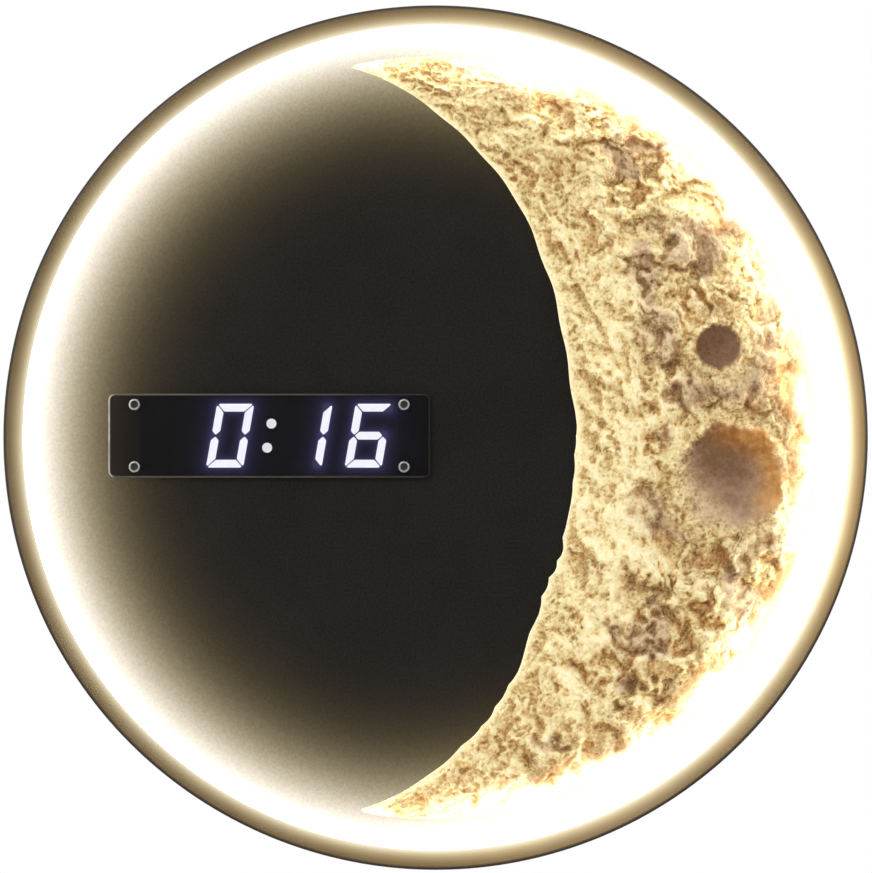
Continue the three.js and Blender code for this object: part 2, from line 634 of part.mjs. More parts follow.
function moonRelief() {
  const [columns, rows] = [RELIEF_STEPS_ACROSS + 1, RELIEF_STEPS_ALONG + 1];
  const positions = [];
  const faces = [];
  const border = [];
  for (let row = 0; row < rows; row++) {
    const along = HORN_TRIM + (1 - 2 * HORN_TRIM) * (row / RELIEF_STEPS_ALONG);
    for (let column = 0; column < columns; column++) {
      const across = column / RELIEF_STEPS_ACROSS;
      const { x, y } = crescentPoint(across, along);
      positions.push(x, facePlane - reliefHeight(across, along), y);
    }
  }
  for (let row = 0; row < RELIEF_STEPS_ALONG; row++) {
    for (let column = 0; column < RELIEF_STEPS_ACROSS; column++) {
      const a = row * columns + column;
      faces.push(a, a + 1, a + columns + 1, a, a + columns + 1, a + columns);
    }
  }
  for (let column = 0; column < columns - 1; column++) border.push(column);
  for (let row = 0; row < rows - 1; row++) border.push(row * columns + columns - 1);
  for (let column = columns - 1; column > 0; column--) border.push((rows - 1) * columns + column);
  for (let row = rows - 1; row > 0; row--) border.push(row * columns);
  const base = positions.length / 3;
  for (const top of border) positions.push(positions[3 * top], facePlane, positions[3 * top + 2]);
  border.forEach((top, i) => {
    const next = (i + 1) % border.length;
    faces.push(top, base + i, base + next, top, base + next, border[next]);
  });
  const outline = border.map((top) => new THREE.Vector2(positions[3 * top], positions[3 * top + 2]));
  for (const [a, b, c] of THREE.ShapeUtils.triangulateShape(outline, [])) {
    faces.push(base + a, base + c, base + b);
  }
  const field = new THREE.BufferGeometry();
  field.setAttribute("position", new THREE.Float32BufferAttribute(positions, 3));
  field.setIndex(faces);
  return cut(join(field, craterCollar(PIT), craterCollar(BASIN)), pitBore(), basinBowl());
}
const relief = piece(clock, "moon_relief", moonRelief(), finishes.relief);
relief.rotation.y = -radians(RELIEF_TILT_DEG);

// Display stack, in its own group on the display's centre line
const display = group(clock, displayX, 0, DISPLAY_Z);
const lensFront = facePlane - LENS_THICKNESS;
const blockRear = panelFront + BLOCK_DEPTH;
const boardFront = blockRear + SEAT_GAP;
const boardRear = boardFront + BOARD_THICKNESS;
const behindBoard = boardRear + SEAT_GAP;

function displayLens() {
  const outline = roundedRectangle(LENS_WIDTH, LENS_HEIGHT, LENS_CORNER);
  const sheet = plate(outline, lensFront, facePlane, CORNER_SEGMENTS);
  const holes = cornerPlaces.map(([x, z]) =>
    bar(LENS_SCREW_DIAMETER + 2 * SLIDE_GAP, lensFront - CUT_PAST, facePlane + CUT_PAST, HOLE_SEGMENTS, x, z),
  );
  return cut(sheet, ...holes);
}
piece(display, "display_lens", displayLens(), finishes.lens);

// Lens screws: low cap heads with a hexagon socket, threaded into the standoffs behind the panel
const standoffFront = behindPanel;
const standoffRear = boardFront - SEAT_GAP;
const lensScrewTip = standoffFront + LENS_SCREW_GRIP;

function lensScrew() {
  const seat = lensFront - SEAT_GAP;
  const head = bar(LENS_SCREW_HEAD, seat - LENS_SCREW_HEAD_HEIGHT, seat);
  const shank = bar(LENS_SCREW_DIAMETER, seat - LENS_SCREW_HEAD_HEIGHT / 2, lensScrewTip);
  const acrossCorners = HEX_SOCKET / Math.cos(Math.PI / 6);
  const socket = bar(
    acrossCorners,
    seat - LENS_SCREW_HEAD_HEIGHT - CUT_PAST,
    seat - LENS_SCREW_HEAD_HEIGHT + HEX_SOCKET_DEPTH,
    6,
  );
  return cut(join(head, shank), socket);
}

function boardStandoff() {
  const post = bar(STANDOFF_DIAMETER, standoffFront, standoffRear, 6);
  const spigot = bar(STANDOFF_SPIGOT, standoffRear - CUT_PAST, boardRear);
  const thread = bar(LENS_SCREW_DIAMETER + 2 * SLIDE_GAP, standoffFront - CUT_PAST, lensScrewTip + SLIDE_GAP);
  return cut(join(post, spigot), thread);
}
cornerPlaces.forEach(([x, z], i) => {
  piece(display, `lens_screw_${i + 1}`, lensScrew(), finishes.steel, x, 0, z);
  piece(display, `board_standoff_${i + 1}`, boardStandoff(), finishes.brass, x, 0, z);
});

// Seven slanted segment outlines; grow widens each one for the hole that it sits in
function segmentOutlines(grow) {
  const half = SEGMENT_WIDTH / 2 + grow;
  const [w, h] = [(DIGIT_WIDTH - SEGMENT_WIDTH) / 2, (DIGIT_HEIGHT - SEGMENT_WIDTH) / 2];
  const gap = SEGMENT_GAP / 2 - grow;
  const mitre = gap * Math.SQRT2;
  const [outX, outZ, corner] = [w + half, h + half, SEGMENT_CORNER];
  const top = [
    [-w + half + mitre, h - half],
    [-outX + corner / 2 + gap, outZ - corner / 2],
    [-outX + corner, outZ],
    [outX - corner, outZ],
    [outX - corner / 2 - gap, outZ - corner / 2],
    [w - half - mitre, h - half],
  ];
  const upperRight = [
    [w - half, h - half - mitre],
    [w - half, half + mitre],
    [w, mitre],
    [outX, half + mitre],
    [outX, outZ - corner],
    [outX - corner / 2, outZ - corner / 2 - gap],
  ];
  const middle = [
    [-w + mitre, 0],
    [-w + half + mitre, half],
    [w - half - mitre, half],
    [w - mitre, 0],
    [w - half - mitre, -half],
    [-w + half + mitre, -half],
  ];
  const mirrored = (outline, sx, sz) => outline.map(([x, z]) => [sx * x, sz * z]);
  return [
    top,
    upperRight,
    mirrored(upperRight, 1, -1),
    mirrored(top, 1, -1),
    mirrored(upperRight, -1, -1),
    mirrored(upperRight, -1, 1),
    middle,
  ].map((outline) => outline.map(([x, z]) => new THREE.Vector2(x + slantShift(z), z)));
}

const colonDots = [0.5, -0.5].map((side) => {
  const z = side * COLON_DOT_SPACING;
  return [slantShift(z), z];
});

// Display block: a black reflector housing, open at the rear, with a window for each segment and dot
const guideFront = panelFront + BLOCK_FACE + SEAT_GAP;

function displayBlock() {
  const face = new THREE.Shape(roundedRectangle(blockWidth, blockHeight, BLOCK_CORNER).getPoints(1));
  const openings = digitCentres.flatMap((x) =>
    segmentOutlines(SLIDE_GAP / 2).map((outline) => outline.map((p) => new THREE.Vector2(p.x + x, p.y))),
  );
  face.holes = openings.map((outline) => new THREE.Path(outline));
  colonDots.forEach(([x, z]) => face.holes.push(circle(COLON_DOT_DIAMETER / 2 + SLIDE_GAP / 2, x, z)));
  const front = plate(face, panelFront, panelFront + BLOCK_FACE);
  const wall = roundedRectangle(blockWidth, blockHeight, BLOCK_CORNER);
  wall.holes = [roundedRectangle(blockWidth - 2 * BLOCK_WALL, blockHeight - 2 * BLOCK_WALL, BLOCK_CORNER)];
  return join(front, plate(wall, panelFront + BLOCK_FACE / 2, blockRear, CORNER_SEGMENTS));
}
piece(display, "display_block", displayBlock(), finishes.blackPlastic);

// Light guides: a base behind the block's face with raised segments that fill its windows
function digitGuide() {
  const [reach, height] = [digitReach + GUIDE_MARGIN, DIGIT_HEIGHT + 2 * GUIDE_MARGIN];
  const foot = roundedRectangle(2 * reach, height, GUIDE_CORNER);
  const base = plate(foot, guideFront, guideFront + GUIDE_BASE, CORNER_SEGMENTS);
  const raised = segmentOutlines(0).map((outline) =>
    plate(new THREE.Shape(outline), panelFront, guideFront + GUIDE_BASE / 2),
  );
  return join(base, ...raised);
}
digitCentres.forEach((x, i) => {
  piece(display, `digit_guide_${i + 1}`, digitGuide(), finishes.lightGuide, x);
});

function colonGuide() {
  const room = COLON_PITCH - 2 * (digitReach + GUIDE_MARGIN) - 2 * SLIDE_GAP;
  const height = COLON_DOT_SPACING + COLON_DOT_DIAMETER + 2 * GUIDE_MARGIN;
  const foot = roundedRectangle(room, height, GUIDE_CORNER);
  const base = plate(foot, guideFront, guideFront + GUIDE_BASE, CORNER_SEGMENTS);
  const dots = colonDots.map(([x, z]) =>
    plate(circle(COLON_DOT_DIAMETER / 2, x, z), panelFront, guideFront + GUIDE_BASE / 2),
  );
  return join(base, ...dots);
}
piece(display, "colon_guide", colonGuide(), finishes.lightGuide);

// Clock board: carries the display on its front, and the clock circuit on its rear
function clockBoard() {
  const outline = roundedRectangle(
    SCREW_SPACING_X + 2 * BOARD_MARGIN,
    SCREW_SPACING_Z + 2 * BOARD_MARGIN,
    BOARD_CORNER,
  );
  const sheet = plate(outline, boardFront, boardRear, CORNER_SEGMENTS);
  const holes = cornerPlaces.map(([x, z]) =>
    bar(STANDOFF_SPIGOT + 2 * SLIDE_GAP, boardFront - CUT_PAST, boardRear + CUT_PAST, HOLE_SEGMENTS, x, z),
  );
  return cut(sheet, ...holes);
}
piece(display, "clock_board", clockBoard(), finishes.board);
piece(
  display,
  "clock_chip",
  block(CHIP_SIZE, 0, CHIP_SIZE[1] / 2),
  finishes.blackPlastic,
  CHIP_X,
  behindBoard,
  CHIP_Z,
);

// Quartz crystal: a small can lying on the board
const crystalCan = new THREE.CapsuleGeometry(
  CRYSTAL_DIAMETER / 2,
  CRYSTAL_LENGTH - CRYSTAL_DIAMETER,
  2,
  HOLE_SEGMENTS,
).rotateZ(Math.PI / 2);
piece(
  display,
  "quartz_crystal",
  closed(crystalCan),
  finishes.steel,
  CRYSTAL_X,
  behindBoard + CRYSTAL_DIAMETER / 2,
  CRYSTAL_Z,
);

// Backup cell in a round holder with an open mouth in its wall
const cellFront = behindBoard + HOLDER_FLOOR + SEAT_GAP;
const cellRear = cellFront + CELL_THICKNESS;

function cellHolder() {
  const bore = CELL_DIAMETER + 2 * SLIDE_GAP;
  const [floor, past] = [behindBoard + HOLDER_FLOOR, cellRear + CUT_PAST];
  const cup = bar(bore + 2 * HOLDER_WALL, behindBoard, cellRear, 2 * HOLE_SEGMENTS);
  const well = bar(bore, floor, past, 2 * HOLE_SEGMENTS);
  const mouth = block([HOLDER_MOUTH, past - floor, bore], 0, (floor + past) / 2, -bore / 2);
  return cut(cup, well, mouth);
}
piece(display, "cell_holder", cellHolder(), finishes.blackPlastic, CELL_X, 0, CELL_Z);
const backupCell = bar(CELL_DIAMETER, cellFront, cellRear, 2 * HOLE_SEGMENTS);
piece(display, "backup_cell", backupCell, finishes.steel, CELL_X, 0, CELL_Z);

// Power socket: an open-ended shroud for the lead from the power supply
const socketMiddle = behindBoard + SOCKET_SIZE[1] / 2;

function powerSocket() {
  const [length, depth, height] = SOCKET_SIZE;
  const well = block(
    [length, depth - 2 * SOCKET_WALL, height - 2 * SOCKET_WALL],
    SOCKET_WALL,
    socketMiddle,
  );
  return cut(block(SOCKET_SIZE, 0, socketMiddle), well);
}
piece(display, "power_socket", powerSocket(), finishes.whitePlastic, SOCKET_X, 0, SOCKET_Z);

// Time-setting switches: a square body with a well, and a plunger whose long stem ends just inside the cover
const switchRear = behindBoard + SWITCH_HEIGHT;
const buttonFlangeRear = switchRear - SWITCH_TOP - SEAT_GAP;

function switchBody() {
  const body = block(
    [SWITCH_SIZE, SWITCH_HEIGHT, SWITCH_SIZE],
    0,
    (behindBoard + switchRear) / 2,
  );
  const well = bar(SWITCH_WELL_DIAMETER, behindBoard + SWITCH_BOTTOM, switchRear - SWITCH_TOP);
  const mouthWidth = BUTTON_DIAMETER + 2 * SLIDE_GAP;
  const mouth = bar(mouthWidth, switchRear - SWITCH_TOP - CUT_PAST, switchRear + CUT_PAST);
  return cut(body, well, mouth);
}

function buttonPlunger() {
  const flange = bar(BUTTON_FLANGE_DIAMETER, buttonFlangeRear - BUTTON_FLANGE, buttonFlangeRear);
  const stem = bar(BUTTON_DIAMETER, buttonFlangeRear - BUTTON_FLANGE / 2, -BUTTON_RECESS);
  return join(flange, stem);
}
const buttonPlaces = { set: -BUTTON_SPACING, up: 0, down: BUTTON_SPACING };
for (const [name, x] of Object.entries(buttonPlaces)) {
  piece(display, `${name}_switch`, switchBody(), finishes.blackPlastic, x, 0, BUTTON_Z);
  piece(display, `${name}_button`, buttonPlunger(), finishes.whitePlastic, x, 0, BUTTON_Z);
}

// Rear cover and its fixings
const coverRadius = flangeInner + COVER_OVERLAP;
const pillarCircle = flangeInner - PILLAR_INSET;
const pillarPlaces = Array.from({ length: PILLAR_COUNT }, (_, i) => {
  const angle = ((i + 0.5) * 2 * Math.PI) / PILLAR_COUNT;
  return [pillarCircle * Math.cos(angle), pillarCircle * Math.sin(angle)];
});
const keyholePlaces = [-0.5, 0.5].map((side) => side * KEYHOLE_SPACING);
const bushOuter = BUSH_BORE + 2 * BUSH_WALL;
const throughCover = [coverInner - CUT_PAST, CUT_PAST];

// A keyhole outline: a round entry with a narrower slot rising from it
function keyhole() {
  const [entry, slot] = [KEYHOLE_ENTRY_DIAMETER / 2, KEYHOLE_SLOT_WIDTH / 2];
  const neck = Math.asin(slot / entry);
  return new THREE.Shape()
    .absarc(0, KEYHOLE_SLOT_RISE, slot, 0, Math.PI, false)
    .absarc(0, 0, entry, Math.PI / 2 + neck, 2.5 * Math.PI - neck, false);
}

// A flat-topped cone and shank
function countersunkScrew(top, tip) {
  const [head, shank] = [COVER_SCREW_HEAD / 2, COVER_SCREW_DIAMETER / 2];
  const profile = [
    [0, tip],
    [shank, tip],
    [shank, top - (head - shank)],
    [head, top],
    [0, top],
  ];
  return turned(
    profile.map(([r, y]) => new THREE.Vector2(r, y)),
    HOLE_SEGMENTS,
  );
}

// A cone through the cover, parallel to the screw's head
function countersink(x, z) {
  const clearance = SLIDE_GAP * Math.SQRT2;
  const [front, rear] = throughCover;
  const radiusAt = (y) => COVER_SCREW_HEAD / 2 + y - screwTop + clearance;
  const cone = new THREE.CylinderGeometry(radiusAt(rear), radiusAt(front), rear - front, HOLE_SEGMENTS);
  return cone.translate(x, (front + rear) / 2, z);
}
const screwTop = -SCREW_RECESS;
const screwTip = screwTop - COVER_SCREW_LENGTH;

function coverScrew() {
  const drive = bar(DRIVE_DIAMETER, screwTop - DRIVE_DEPTH, screwTop + CUT_PAST, 6);
  return cut(countersunkScrew(screwTop, screwTip), drive);
}

function coverPillar() {
  const post = bar(PILLAR_DIAMETER, behindPanel, insideCover, 6);
  const boreWidth = COVER_SCREW_DIAMETER + 2 * SLIDE_GAP;
  const bore = bar(boreWidth, insideCover - PILLAR_BORE_DEPTH, insideCover + CUT_PAST);
  return cut(post, bore);
}

const driverScrewPlaces = [-1, 1].map((side) => [
  DRIVER_X + (side * (DRIVER_LENGTH + DRIVER_EAR)) / 2,
  DRIVER_Z,
]);

function rearCover() {
  const disc = plate(circle(coverRadius), coverInner, 0, RING_SEGMENTS);
  const screwHoles = pillarPlaces.map(([x, z]) => countersink(x, z));
  const keyholes = keyholePlaces.map((x) =>
    plate(keyhole(), ...throughCover).translate(x, 0, KEYHOLE_HEIGHT),
  );
  const buttonHoles = Object.values(buttonPlaces).map((x) =>
    bar(COVER_BUTTON_HOLE, ...throughCover, HOLE_SEGMENTS, displayX + x, DISPLAY_Z + BUTTON_Z),
  );
  const bushHole = bar(bushOuter + 2 * SLIDE_GAP, ...throughCover, 2 * HOLE_SEGMENTS, BUSH_X, BUSH_Z);
  const driverHoles = driverScrewPlaces.map(([x, z]) =>
    bar(DRIVER_SCREW_DIAMETER + 2 * SLIDE_GAP, ...throughCover, HOLE_SEGMENTS, x, z),
  );
  return cut(disc, ...screwHoles, ...keyholes, ...buttonHoles, bushHole, ...driverHoles);
}
piece(clock, "rear_cover", rearCover(), finishes.cover);
pillarPlaces.forEach(([x, z], i) => {
  piece(clock, `cover_pillar_${i + 1}`, coverPillar(), finishes.steel, x, 0, z);
  piece(clock, `cover_screw_${i + 1}`, coverScrew(), finishes.steel, x, 0, z);
});

// Keyhole plates: stiffen the thin cover where the wall screws carry the clock
function hangerPlate() {
  const [front, rear] = [insideCover - HANGER_THICKNESS, insideCover];
  const outline = roundedRectangle(HANGER_WIDTH, HANGER_HEIGHT, HANGER_CORNER);
  const sheet = plate(outline, front, rear, CORNER_SEGMENTS).translate(0, 0, KEYHOLE_SLOT_RISE / 2);
  return cut(sheet, plate(keyhole(), front - CUT_PAST, rear + CUT_PAST));
}
["left", "right"].forEach((side, i) => {
  piece(clock, `hanger_plate_${side}`, hangerPlate(), finishes.steel, keyholePlaces[i], 0, KEYHOLE_HEIGHT);
});

// Cable bush: a flush rubber ring with its flange inside the cover
function cableBush() {
  const [bore, outer] = [BUSH_BORE / 2, bushOuter / 2];
  const flange = outer + BUSH_FLANGE_WIDTH;
  const profile = [
    [bore, -BUSH_RECESS],
    [bore, insideCover - BUSH_FLANGE_THICKNESS],
    [flange, insideCover - BUSH_FLANGE_THICKNESS],
    [flange, insideCover],
    [outer, insideCover],
    [outer, -BUSH_RECESS],
    [bore, -BUSH_RECESS],
  ];
  return turned(
    profile.map(([r, y]) => new THREE.Vector2(r, y)),
    2 * HOLE_SEGMENTS,
  );
}
piece(clock, "cable_bush", cableBush(), finishes.rubber, BUSH_X, 0, BUSH_Z);

// Power supply: a potted case with two ears, closed by a lid that drops into its rim
const driverFront = insideCover - DRIVER_DEPTH;

function driverCase() {
  const body = plate(
    roundedRectangle(DRIVER_LENGTH, DRIVER_HEIGHT, DRIVER_CORNER),
    driverFront,
    insideCover,
    CORNER_SEGMENTS,
  );
  const earLength = DRIVER_LENGTH + 2 * DRIVER_EAR;
  const ears = plate(
    roundedRectangle(earLength, DRIVER_HEIGHT / 2, DRIVER_CORNER),
    insideCover - DRIVER_EAR_THICKNESS,
    insideCover,
    CORNER_SEGMENTS,
  );
  const rim = plate(
    roundedRectangle(
      DRIVER_LENGTH - 2 * DRIVER_WALL,
      DRIVER_HEIGHT - 2 * DRIVER_WALL,
      DRIVER_CORNER - DRIVER_WALL,
    ),
    driverFront - CUT_PAST,
    driverFront + DRIVER_LID_THICKNESS + SEAT_GAP,
    CORNER_SEGMENTS,
  );
  const screwHoles = driverScrewPlaces.map(([x]) =>
    bar(
      DRIVER_SCREW_DIAMETER + 2 * SLIDE_GAP,
      insideCover - DRIVER_EAR_THICKNESS - CUT_PAST,
      insideCover + CUT_PAST,
      HOLE_SEGMENTS,
      x - DRIVER_X,
    ),
  );
  return cut(join(body, ears), rim, ...screwHoles);
}

function driverLid() {
  const inset = 2 * (DRIVER_WALL + SLIDE_GAP);
  return plate(
    roundedRectangle(
      DRIVER_LENGTH - inset,
      DRIVER_HEIGHT - inset,
      Math.max(DRIVER_CORNER - DRIVER_WALL - SLIDE_GAP, SLIDE_GAP),
    ),
    driverFront,
    driverFront + DRIVER_LID_THICKNESS,
    CORNER_SEGMENTS,
  );
}

function driverScrew() {
  const seat = insideCover - DRIVER_EAR_THICKNESS - SEAT_GAP;
  const head = bar(DRIVER_SCREW_HEAD, seat - DRIVER_SCREW_HEAD_HEIGHT, seat);
  return join(head, bar(DRIVER_SCREW_DIAMETER, seat - DRIVER_SCREW_HEAD_HEIGHT / 2, -SCREW_RECESS));
}
piece(clock, "driver_case", driverCase(), finishes.whitePlastic, DRIVER_X, 0, DRIVER_Z);
piece(clock, "driver_lid", closed(driverLid()), finishes.whitePlastic, DRIVER_X, 0, DRIVER_Z);
driverScrewPlaces.forEach(([x, z], i) => {
  piece(clock, `driver_screw_${i + 1}`, driverScrew(), finishes.steel, x, 0, z);
});

// Terminal block: a row of through bores for the supply wires
const terminalMiddle = insideCover - TERMINAL_DEPTH / 2;

function terminalBlock() {
  const length = TERMINAL_WAYS * TERMINAL_PITCH;
  const [radius, depth] = [TERMINAL_BORE / 2, TERMINAL_HEIGHT + 2 * CUT_PAST];
  const bores = Array.from({ length: TERMINAL_WAYS }, (_, i) =>
    new THREE.CylinderGeometry(radius, radius, depth, HOLE_SEGMENTS)
      .rotateX(Math.PI / 2)
      .translate((i - (TERMINAL_WAYS - 1) / 2) * TERMINAL_PITCH, terminalMiddle, 0),
  );
  return cut(block([length, TERMINAL_DEPTH, TERMINAL_HEIGHT], 0, terminalMiddle), ...bores);
}
piece(clock, "terminal_block", terminalBlock(), finishes.whitePlastic, TERMINAL_X, 0, TERMINAL_Z);

// Leads: round flexes along smooth routes through the rear space
function lead(points) {
  const route = new THREE.CatmullRomCurve3(
    points.map((p) => new THREE.Vector3(...p)),
    false,
    "centripetal",
  );
  const section = circle(LEAD_DIAMETER / 2);
  return closed(
    new THREE.ExtrudeGeometry(section, {
      steps: Math.ceil(route.getLength() / LEAD_STEP),
      bevelEnabled: false,
      curveSegments: LEAD_SIDES / 2,
      extrudePath: route,
    }),
  );
}
const driverMiddle = insideCover - DRIVER_DEPTH / 2;
const driverLeft = DRIVER_X - DRIVER_LENGTH / 2 - SEAT_GAP;
const driverRight = DRIVER_X + DRIVER_LENGTH / 2 + SEAT_GAP;
const earReach = DRIVER_EAR + 2 * LEAD_DIAMETER;
const terminalTop = TERMINAL_Z + TERMINAL_HEIGHT / 2 + SEAT_GAP;
const socketMouth = displayX + SOCKET_X + SOCKET_SIZE[0] / 2 + SEAT_GAP;

piece(
  clock,
  "supply_lead",
  lead([
    [driverLeft, driverMiddle, DRIVER_Z - 8],
    [driverLeft - earReach / 2, driverMiddle, DRIVER_Z - 8],
    [driverLeft - earReach, driverMiddle, DRIVER_Z - 14],
    [driverLeft - earReach + 4, driverMiddle, DRIVER_Z - 26],
    [TERMINAL_X - 12, terminalMiddle, terminalTop + 9],
    [TERMINAL_X - 2, terminalMiddle, terminalTop + 7],
    [TERMINAL_X, terminalMiddle, terminalTop],
  ]),
  finishes.rubber,
);
piece(
  clock,
  "clock_lead",
  lead([
    [driverLeft, driverMiddle, DRIVER_Z + 8],
    [driverLeft - earReach / 2, driverMiddle, DRIVER_Z + 8],
    [(driverLeft + socketMouth) / 2, (driverMiddle + socketMiddle) / 2, DISPLAY_Z + SOCKET_Z + 1],
    [socketMouth + 6, socketMiddle, DISPLAY_Z + SOCKET_Z],
    [socketMouth, socketMiddle, DISPLAY_Z + SOCKET_Z],
  ]),
  finishes.rubber,
);
piece(
  clock,
  "strip_lead",
  lead([
    [driverRight, driverMiddle, DRIVER_Z + 2],
    [driverRight + earReach, driverMiddle, DRIVER_Z + 2],
    [leadHole[0] - 14, driverMiddle, leadHole[1]],
    [leadHole[0] - 3, driverMiddle - 2, leadHole[1]],
    [leadHole[0], panelRear + 2, leadHole[1]],
    [leadHole[0], panelFront - 3, leadHole[1]],
    [leadHole[0] + 1.5, stripMiddle + 2, leadHole[1]],
    [leadHole[0] + 4, stripMiddle, leadHole[1]],
  ]),
  finishes.rubber,
);

export default clock;
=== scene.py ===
"""Looks of a round LED wall clock with a lit crescent relief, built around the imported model.

Every length is in metres. The clock's back lies on the plane y = 0, it faces -Y, and +Z is up.
"""

import json
import logging
import math
from collections.abc import Iterable, Sequence
from dataclasses import dataclass, field
from enum import Enum
from typing import Protocol

import bmesh
import bpy
import numpy as np
from bmesh.types import BMEdge, BMesh, BMFace, BMVert
from mathutils import Matrix, Vector


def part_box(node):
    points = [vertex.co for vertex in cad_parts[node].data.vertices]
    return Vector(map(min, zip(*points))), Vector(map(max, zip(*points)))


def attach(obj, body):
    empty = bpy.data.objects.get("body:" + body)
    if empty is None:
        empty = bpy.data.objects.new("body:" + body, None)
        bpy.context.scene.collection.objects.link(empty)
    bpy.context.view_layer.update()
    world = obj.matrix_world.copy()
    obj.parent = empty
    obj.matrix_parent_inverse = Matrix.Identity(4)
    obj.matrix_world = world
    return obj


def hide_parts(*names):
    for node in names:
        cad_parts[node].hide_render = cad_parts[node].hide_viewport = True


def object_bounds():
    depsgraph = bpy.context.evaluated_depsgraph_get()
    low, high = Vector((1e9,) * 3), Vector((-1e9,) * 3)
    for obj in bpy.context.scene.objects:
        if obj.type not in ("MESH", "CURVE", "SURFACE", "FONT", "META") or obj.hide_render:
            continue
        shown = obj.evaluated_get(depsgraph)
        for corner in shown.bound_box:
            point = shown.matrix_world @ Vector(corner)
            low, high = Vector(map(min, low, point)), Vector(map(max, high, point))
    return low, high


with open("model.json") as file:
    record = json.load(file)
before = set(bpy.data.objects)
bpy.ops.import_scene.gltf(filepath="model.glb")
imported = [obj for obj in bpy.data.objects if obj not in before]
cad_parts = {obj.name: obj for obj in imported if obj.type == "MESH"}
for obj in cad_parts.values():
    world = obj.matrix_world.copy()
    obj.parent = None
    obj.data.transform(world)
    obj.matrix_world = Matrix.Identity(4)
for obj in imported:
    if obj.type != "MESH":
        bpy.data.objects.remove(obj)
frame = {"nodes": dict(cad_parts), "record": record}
CAD_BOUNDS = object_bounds()

LOG = logging.getLogger("wall_clock")
CLOCK = "clock"
MERGE = 1e-7
BLACK = (0.0, 0.0, 0.0)

Triple = tuple[float, float, float]
Colour = Triple
Pair = tuple[Colour, Colour]
Point = tuple[float, float]
Array = np.ndarray
Socket = bpy.types.NodeSocket
Material = bpy.types.Material
Piece = bpy.types.Object


class Facing(Enum):
    """Side that a fastener's head faces, as the turn about X that brings +Z there."""

    FRONT = math.pi / 2
    REAR = -math.pi / 2


class Glyph(Enum):
    """Lit segments of one digit, by their usual letters."""

    BLANK = ""
    ZERO = "abcdef"
    ONE = "bc"
    SIX = "acdefg"


